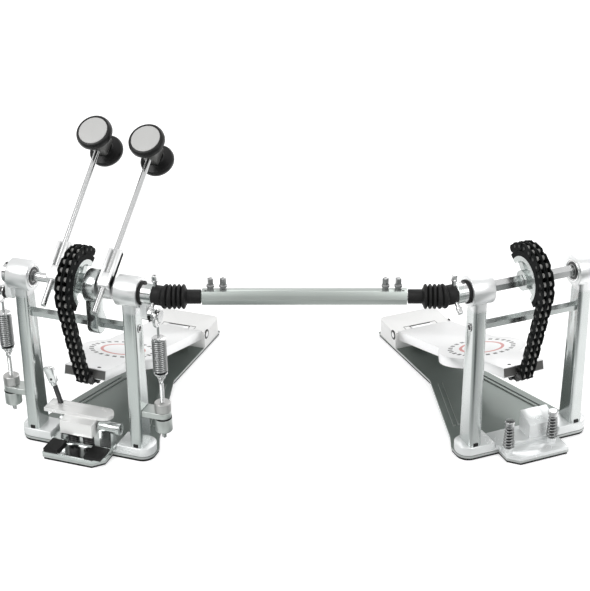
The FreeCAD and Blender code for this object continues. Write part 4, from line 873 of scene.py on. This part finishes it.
# hubs: round boss on the axle, forked bar round the rod and a key screw behind
hub = {
    "boss": [(11.0, -6.8), (12.0, -6.0), (12.0, 6.0), (11.0, 6.8)], "half": 6.8, "front": -17, "back": -6,
    "low": -7, "top": 40, "spineBevel": 1.2, "saddleTop": 10, "saddleBevel": 2.2,
    "forkBack": -12.5, "forkGap": 3.3, "prongLow": -4, "prongTop": 38, "prongBevel": 0.9,
    "keyAt": 20, "keyLow": -1, "keyHigh": 7,
    "rod": [(2.4, -36), (3.1, -35.3), (3.1, 166)],
}


def makeHub(word, beater):
    ownFrame, name, body = leanFrame(beater), word + "_hub", beater["axle"]
    half, front, back, low = pick(hub, "half front back low")
    boxes = {
        "spine": ((-half, hub["forkBack"], low), (half, back, hub["top"]), hub["spineBevel"]),
        "saddle": ((-half, front, low), (half, back, hub["saddleTop"]), hub["saddleBevel"]),
    }
    for sign in (-1, 1):
        left, right = sorted((sign * hub["forkGap"], sign * half))
        corners = (left, front, hub["prongLow"]), (right, back, hub["prongTop"])
        boxes[f"prong{sign}"] = (*corners, hub["prongBevel"])
    boss = placed(lathe(name + "_boss", hub["boss"], "boss"), aimed((0, 0, 0), (1, 0, 0)))
    fork = joined(name + "_fork", [boss] + [block(f"{name}_{key}", *box) for key, box in boxes.items()])
    finishPiece(placed(fork, ownFrame), body, "whiteCast", word + "_beater_hub")
    screw = keyScrew(name + "_key", hub["keyLow"], hub["keyHigh"])
    placed(screw, ownFrame @ aimed((0, back, hub["keyAt"]), (0, 1, 0)))
    finishPiece(screw, body, "brightSteel")
    rod = placed(lathe(word + "_rod", hub["rod"], "small"), ownFrame @ moved(0, -head["rodOffset"], 0))
    finishPiece(rod, beater["body"], "brightSteel", word + "_beater_rod")


# centre bracket: ring on the axles and a leg that closes round the crossbar
bracket = {
    "ring": {"radius": 18, "inset": 1.5, "step": 1.5, "sides": "large"}, "span": (15, 29),
    "legSpan": (15.6, 28.4), "bevel": 1.4,
    "front": -12, "back": 6, "bulge": (3, 173), "footAt": (-2, 157), "foot": 11, "footArc": (165, 380),
}


def makeBracket():
    ring = placed(disc("bracket_ring", bracket["ring"], *bracket["span"]), aimed((0, 0, axle), (1, 0, 0)))
    foot = arcPoints(bracket["footAt"], bracket["foot"], *bracket["footArc"])
    outline = [(bracket["front"], axle), *foot, bracket["bulge"], (bracket["back"], axle)]
    leg = placed(slab("bracket_leg", outline, *bracket["legSpan"], bracket["bevel"]), upright)
    obj = joined("centre_bracket_soft", [ring, leg])
    finishPiece(obj, "primary_frame", "castMetal", "primary_centre_bracket")


# key screws on the boots' cuffs
cuffKeys = {"at": 92, "low": 9.5, "high": 20, "turns": (4, 128)}


def makeCuffKeys(word):
    for i, degrees in enumerate(cuffKeys["turns"]):
        obj = keyScrew(f"{word}_cuff_key{i}", cuffKeys["low"], cuffKeys["high"])
        placed(obj, frames[word] @ moved(hands[word] * cuffKeys["at"], 0, axle) @ turned(degrees, "X"))
        finishPiece(obj, word + "_frame", "brightSteel")


# key screws and a small set screw at each end of the drive shaft
shaftKeys = {
    "margin": 36, "fromEnd": 9, "spacing": 13, "turns": (20, 50),
    "foot": [(3.6, 6.9), (3.6, 9.6), (2.9, 10.0), (2.9, 11.4), (4.2, 11.7), (4.2, 13.3), (3.2, 14.0)],
    "headLow": (-2.5, -2.5, 13.4), "headHigh": (2.5, 2.5, 21.0), "headBevel": 0.7,
    "dotFromEnd": 4, "dotAside": -2, "dotRadius": 1.3, "dotLow": 7.15, "dotHigh": 7.65,
}


def makeShaftKeys():
    far = layout["shaftSpan"] - shaftKeys["margin"]
    for end, (edge, sign) in enumerate(((shaftKeys["margin"], 1), (far, -1))):
        for i, degrees in enumerate(shaftKeys["turns"]):
            name = f"shaft_key_{end}{i}"
            foot = lathe(name + "_foot", shaftKeys["foot"], "thin")
            top = block(name + "_top", shaftKeys["headLow"], shaftKeys["headHigh"], shaftKeys["headBevel"])
            x = edge + sign * (shaftKeys["fromEnd"] + shaftKeys["spacing"] * i)
            obj = placed(joined(name, [foot, top]), shaftFrame @ moved(x, 0, 0) @ turned(degrees, "Z"))
            finishPiece(obj, "drive_shaft_tube", "springWire")
        dot = peg(f"shaft_set_{end}", shaftKeys["dotRadius"], shaftKeys["dotLow"], shaftKeys["dotHigh"])
        placed(dot, shaftFrame @ moved(edge + sign * shaftKeys["dotFromEnd"], shaftKeys["dotAside"], 0))
        finishPiece(dot, "drive_shaft_tube", "matBlack")


for word, beater in beaters.items():
    makeHub(word, beater)
makeBracket()
for word in frames:
    makeCuffKeys(word)
makeShaftKeys()

# sockets of the crossbar's screws, and ends of the hinge pins in their dark rings
socket = {"radius": 2.2, "deep": 0.5, "sunk": 0.4, "face": 70.55, "height": 157, "rim": 3.5, "rimWire": 0.7}
hingePin = {
    "face": 38.95, "ring": [(6.2, -0.4), (6.2, 0.15), (5.8, 0.3)], "end": [(3.5, -0.3), (3.5, 0.45), (3.0, 0.7)],
}


def makeSocket(word, side):
    face, height, body = socket["face"], socket["height"], word + "_frame"
    obj = peg(f"{word}_socket{side}", socket["radius"], 0, socket["deep"], "hex")
    finishPiece(placed(obj, alongX(word, side * (face - socket["sunk"]), 0, height, side)), body, "matBlack")
    rim = hoop(f"{word}_socket_rim{side}", socket["rim"], socket["rimWire"], "small")
    finishPiece(placed(rim, alongX(word, side * face, 0, height, side)), body, "brightSteel")
    spot = alongX(word, side * hingePin["face"], *board["hinge"][1:], side)
    for key, finish in (("ring", "matBlack"), ("end", "brightSteel")):
        finishPiece(placed(lathe(f"{word}_pin_{key}{side}", hingePin[key], "small"), spot), body, finish)


# bearing faces in the housings, screws on the toes and keys at the posts' feet
bearing = {
    "at": 50.5, "lip": (11.8, 0.9), "race": (6.2, 0.8), "seal": [(9.8, -0.3), (9.8, 0.25), (7.2, 0.25)],
}
toeScrew = {"at": 15, "fromEnd": 8, "profile": [(2.1, -0.4), (2.1, 0.25), (1.7, 0.5)]}
postKey = {"at": 63, "low": (-2.8, -13.5, 15.8), "high": (2.8, -12.5, 19.6), "bevel": 0.3}


def makeBearingFace(word, side):
    spot, name = alongX(word, side * bearing["at"], 0, axle, -side), word + "_bearing_"
    pieces = [
        (hoop(f"{name}lip{side}", *bearing["lip"]), "polished"),
        (lathe(f"{name}seal{side}", bearing["seal"]), "darkSteel"),
        (hoop(f"{name}race{side}", *bearing["race"]), "springWire"),
    ]
    for piece, finish in pieces:
        finishPiece(placed(piece, spot), word + "_frame", finish)


def makePostKey(word, side):
    obj = block(f"{word}_post_key{side}", postKey["low"], postKey["high"], postKey["bevel"])
    finishPiece(placed(obj, frames[word] @ moved(side * postKey["at"], 0, 0)), word + "_frame", "matBlack")


def makeToeScrew(word):
    spot = moved(hands[word] * toeScrew["at"], toeScrew["fromEnd"] - board["length"], board["half"])
    dot = placed(lathe(word + "_toe_screw", toeScrew["profile"], "small"), boardFrame(word) @ spot)
    finishPiece(dot, word + "_footboard", "matBlack")


# painted reflection and shade: dark plates on the front of the toe, on both sides of the chain's slot and above
# it, and a dark wall inside the slot, standing in for the dark reflection and shade there
darkMetalAndShade = {
    "half": 21.6, "slotHalf": 8.6, "low": -4.8, "high": 4.8, "skin": 2.6, "proud": 0.25, "sunk": 0.3,
    "wallFrom": 12, "wallThick": 0.6, "wallHalf": 10.4, "wallLow": -5.4, "wallHigh": 2.2,
}


def makeToeShade(word):
    hand, front = hands[word], -board["length"]
    slot = hand * layout["camAt"]
    near, far = slot - darkMetalAndShade["slotHalf"], slot + darkMetalAndShade["slotHalf"]
    left = -darkMetalAndShade["half"] - (toe["wider"] if hand < 0 else 0)
    right = darkMetalAndShade["half"] + (toe["wider"] if hand > 0 else 0)
    low, high, half = pick(darkMetalAndShade, "low high wallHalf")
    outer, inner = front - darkMetalAndShade["proud"], front + darkMetalAndShade["sunk"]
    wall = front + darkMetalAndShade["wallFrom"]
    boxes = [((start, outer, bottom), (end, inner, high))
             for start, end, bottom in ((left, near, low), (near, far, darkMetalAndShade["skin"]), (far, right, low))]
    boxes.append(((slot - half, wall, darkMetalAndShade["wallLow"]),
                  (slot + half, wall + darkMetalAndShade["wallThick"], darkMetalAndShade["wallHigh"])))
    obj = joined(word + "_toe_shade", [block(f"{word}_toe_shade{i}", *box) for i, box in enumerate(boxes)])
    finishPiece(placed(obj, boardFrame(word)), word + "_footboard", "darkMetalAndShade")


# painted shadow: a dark strip in the gap behind the footboard's knuckle, where shade falls, and on the heel
# plate's top dark strips of left, right, front and back that stand in for the shadow lines round the hinge's
# notch
hingeShade = {
    "gap": ((-14.5, 249.1, 14), (14.5, 250, 26)), "notchShadeHeight": (25.9, 26.1),
    "notchShade": [(-22, 22, 248.9, 250), (-22, -21.45, 237, 250), (21.45, 22, 237, 250),
             (-37.5, -22, 237, 237.9), (22, 37.5, 237, 237.9)],
}


def makeHingeShade(word):
    low, high = hingeShade["notchShadeHeight"]
    boxes = [((left, front, low), (right, back, high)) for left, right, front, back in hingeShade["notchShade"]]
    boxes.append(hingeShade["gap"])
    obj = joined(word + "_hinge_shade", [block(f"{word}_hinge_strip{i}", *box) for i, box in enumerate(boxes)])
    finishPiece(placed(obj, frames[word]), word + "_frame", "darkMetalAndShade")


for word in frames:
    makeToeScrew(word)
    makeToeShade(word)
    makeHingeShade(word)
    for side in (-1, 1):
        makeSocket(word, side)
        makeBearingFace(word, side)
        makePostKey(word, side)
print("stage: small hardware made")

# the clamp's screw: dark thread and a tapered wing with its cross pin
clampScrew = {
    "foot": (-25, 2, 13.25), "tilt": 14.5, "length": 70,
    "thread": {"radius": 2.6, "rise": 0.36, "pitch": 1.5}, "threadTop": 57,
    "wing": [(-4.3, -10.5), (4.3, -10.5), (6.2, 9), (-6.2, 9)], "wingHalf": 3, "wingBevel": 1.1,
    "neck": [(3.2, -14), (3.7, -13.4), (3.7, -9)],
    "pinRadius": 1.5, "pinHalf": 3.25, "pinAt": -5.5,
}


def makeClampScrew():
    look, body = clampScrew, "clamp_screw"
    foot = moved(*look["foot"]) @ turned(-look["tilt"], "Y")
    stem = threaded("clamp_screw_thread", look["thread"], 0, look["threadTop"])
    finishPiece(placed(stem, foot), body, "darkSteel", body)
    top = foot @ moved(0, 0, look["length"])
    wing = slab("clamp_screw_wing", look["wing"], -look["wingHalf"], look["wingHalf"], look["wingBevel"])
    placed(wing, turned(90, "X"))
    neck = lathe("clamp_screw_neck", look["neck"], "small")
    finishPiece(placed(joined("clamp_screw_head", [wing, neck]), top), body, "polished")
    pin = peg("clamp_screw_pin", look["pinRadius"], 0, 2 * look["pinHalf"])
    placed(pin, top @ aimed((0, look["pinHalf"], look["pinAt"]), (0, -1, 0)))
    finishPiece(pin, body, "darkSteel")


# under the jaw: two black springs, a rubber lip and a polished plate between the pads
jawSprings = ((-10, -17, 0), (8, -17, 0))
jawSpring = {"low": 12.2, "high": 26.8, "radius": 5.2, "wire": 1.1, "turns": 5}
underJaw = {
    "lip": ((-19, -26.4, 25.4), (17, -19, 27.0)), "lipBevel": 0.4,
    "plate": ((-17.4, -42.5, 9.4), (13.4, -19.3, 9.75)),
}


def makeUnderJaw():
    for i, place in enumerate(jawSprings):
        stretchCoil(f"jaw_spring{i}", jawSpring, metres(*place), "darkSteel", ("primary_frame", "clamp_jaw"))
    finishPiece(block("jaw_lip", *underJaw["lip"], underJaw["lipBevel"]), "clamp_jaw", "blackRubber")
    finishPiece(block("clamp_gloss", *underJaw["plate"]), "primary_frame", "polished")


makeClampScrew()
makeUnderJaw()
print("stage: clamp made")

# spur screws: threaded stem, knurled head and a conical spring squeezed between plate and head
spurs = {"inner": (-30, -26, 0), "outer": (24, -26, 0)}
spurSpring = {"low": 14.6, "high": 41.6, "radius": 5.7, "narrow": 4.0, "wire": 0.8, "turns": 7}
spur = {
    "thread": {"radius": 2.55, "rise": 0.34, "pitch": 1.4}, "tip": 0.5, "top": 43,
    "head": [(4.2, 41.8), (5.4, 42.4), (5.5, 47.0), (4.9, 47.9), (4.0, 48.0)],
    "grip": {"radius": 5.5, "rise": 0.15, "low": 43.2, "high": 46.4, "count": 28},
}


def makeSpur(body, place):
    spot = Matrix.Translation(place)
    stretchCoil(body + "_spring", spurSpring, place, "springWire", ("slave_frame", body))
    stem = threaded(body + "_thread", spur["thread"], spur["tip"], spur["top"])
    finishPiece(placed(stem, spot), body, "darkSteel", body)
    cap = lathe(body + "_head", spur["head"], "knob")
    knob = joined(body + "_knob", [cap, knurled(body + "_grip", spur["grip"])])
    finishPiece(placed(knob, spot), body, "brightSteel")


# the anchor plate's longer side block
anchorSide = {
    "span": (23.4, 35), "bevel": 0.5,
    "outline": [(-15.9, 12.2), (5.9, 12.2), (5.9, 35.9), (-15.9, 27.9)],
}


def makeAnchorSide():
    obj = slab("anchor_block_side", anchorSide["outline"], *anchorSide["span"], anchorSide["bevel"])
    finishPiece(placed(obj, frames["slave"] @ upright), "slave_frame", "footCast")


makeAnchorSide()
for word, place in spurs.items():
    makeSpur("anchor_spur_" + word, frames["slave"] @ metres(*place))
print("stage: spurs made")

# camera, floor and light
camera = {
    "place": (0.66880, -1.17299, 0.84718), "yaw": 19.9, "pitch": 26.57, "roll": -0.67,
    "lens": 85.89, "sensor": 36, "clipEnd": 30,
}


def placeCamera():
    data = bpy.data.cameras.new("photoCamera")
    obj = linked("photoCamera", data)
    yaw, pitch, roll = pick(camera, "yaw pitch roll")
    turn = turned(yaw, "Z") @ turned(90 - pitch, "X") @ turned(roll, "Z")
    obj.matrix_world = Matrix.Translation(camera["place"]) @ turn
    data.sensor_width = camera["sensor"]
    data.lens = camera["lens"]
    data.clip_end = camera["clipEnd"]
    bpy.context.scene.camera = obj


# spans are places in the room where a tone fades into the next
studio = {
    "floor": {"size": 12.0, "location": (0, 0, -0.0002)}, "floorTones": ((0.9,) * 3, (0.92,) * 3),
    "floorScale": 3.0, "floorRough": 0.9, "floorSpecular": 0.1, "floorLift": 0.5,
    "patchScale": 5.0, "panels": [(0.4, (0.1, 0.115, 0.115)), (0.56, (0.6, 0.62, 0.61))],
    "dimRight": (0.12, 0.3), "dimTo": 0.5, "whiteBehind": (0.0, 0.2), "behindTone": (0.88,) * 3,
    "worldLight": (0.55,) * 3, "white": (1, 1, 1), "skyBehind": (-0.1, 0.3),
    "sky": [(0.0, (1.0,) * 3), (0.16, (1.0,) * 3), (0.3, (0.22,) * 3), (0.5, (0.16,) * 3),
            (0.62, (0.8,) * 3), (1.0, (0.85,) * 3)],
    "lamps": [
        {"name": "key", "place": (-0.9, -1.3, 1.9), "aim": (0.2, 0.1, 0.1), "size": 1.4, "power": 23},
        {"name": "fill", "place": (1.9, -0.8, 1.5), "aim": (0.3, 0.1, 0.1), "size": 1.2, "power": 13},
        {"name": "rear", "place": (0.4, 1.8, 1.6), "aim": (0.2, 0.1, 0.1), "size": 1.6, "power": 12},
    ],
}


# a colour that turns white towards the back of the room
def whiteBehind(tree, coordinate, colour, span):
    share = mapRange(tree, splitAxes(tree, coordinate)[1], span, kind="SMOOTHSTEP")
    return mixTone(tree, share, colour, studio["behindTone"])


def addRamp(tree, share, stops):
    ramp = addNode(tree, "ValToRGB", Fac=share)
    elements = ramp.color_ramp.elements
    first, *between, last = stops
    elements[0].position, elements[0].color = first[0], (*first[1], 1)
    elements[1].position, elements[1].color = last[0], (*last[1], 1)
    for position, tone in between:
        elements.new(position).color = (*tone, 1)
    return ramp.outputs["Color"]


def makeFloor():
    floor = added("studioFloor", bpy.ops.mesh.primitive_plane_add, **studio["floor"])
    material = newMaterial("paleFloor")
    tree = material.node_tree
    place = objectPlace(tree)
    noise = addNode(tree, "TexNoise", Vector=place, Scale=studio["floorScale"])
    tones = mixTone(tree, noise.outputs["Fac"], *studio["floorTones"])
    # reflections see broad grey and white patches, as of a studio's panels
    patches = addNode(tree, "TexNoise", Vector=place, Scale=studio["patchScale"], Detail=0.0)
    panels = addRamp(tree, patches.outputs["Fac"], studio["panels"])
    dim = mapRange(tree, splitAxes(tree, place)[0], studio["dimRight"], (1.0, studio["dimTo"]), "SMOOTHSTEP")
    dimmed = addNode(tree, "VectorMath", panels, operation="SCALE", Scale=dim).outputs["Vector"]
    panelTone = whiteBehind(tree, place, dimmed, studio["whiteBehind"])
    path = addNode(tree, "LightPath").outputs
    floorTone = mixTone(tree, path["Is Glossy Ray"], tones, panelTone)
    seen = mathNode(tree, "MAXIMUM", path["Is Camera Ray"], path["Is Glossy Ray"])
    setShader(tree, {
        "Base Color": floorTone,
        "Emission Color": floorTone,
        "Emission Strength": product(tree, seen, studio["floorLift"]),
        "Roughness": studio["floorRough"],
        "Specular IOR Level": studio["floorSpecular"],
    })
    floor.data.materials.append(material)


def addLamp(lamp):
    data = bpy.data.lights.new(lamp["name"], "AREA")
    data.size = lamp["size"]
    data.energy = lamp["power"]
    obj = linked(lamp["name"], data)
    obj.location = lamp["place"]
    aim = Vector(lamp["aim"]) - Vector(lamp["place"])
    obj.rotation_euler = aim.to_track_quat("-Z", "Y").to_euler()


# camera rays see white, glossy rays a graded room, the rest an even light
def makeWorld():
    world = bpy.data.worlds.new("studioWorld")
    bpy.context.scene.world = world
    world.use_nodes = True
    tree = world.node_tree
    path = addNode(tree, "LightPath").outputs
    place = addNode(tree, "TexCoord").outputs["Generated"]
    sky = addRamp(tree, splitAxes(tree, place)[2], studio["sky"])
    room = whiteBehind(tree, place, sky, studio["skyBehind"])
    plain = mixTone(tree, path["Is Glossy Ray"], studio["worldLight"], room)
    seen = mathNode(tree, "MAXIMUM", path["Is Camera Ray"], path["Is Transmission Ray"])
    feed(tree, tree.nodes["Background"].inputs["Color"], mixTone(tree, seen, plain, studio["white"]))


placeCamera()
makeFloor()
for lamp in studio["lamps"]:
    addLamp(lamp)
makeWorld()
bpy.context.scene.view_settings.view_transform = "Standard"
print("stage: camera and studio set")
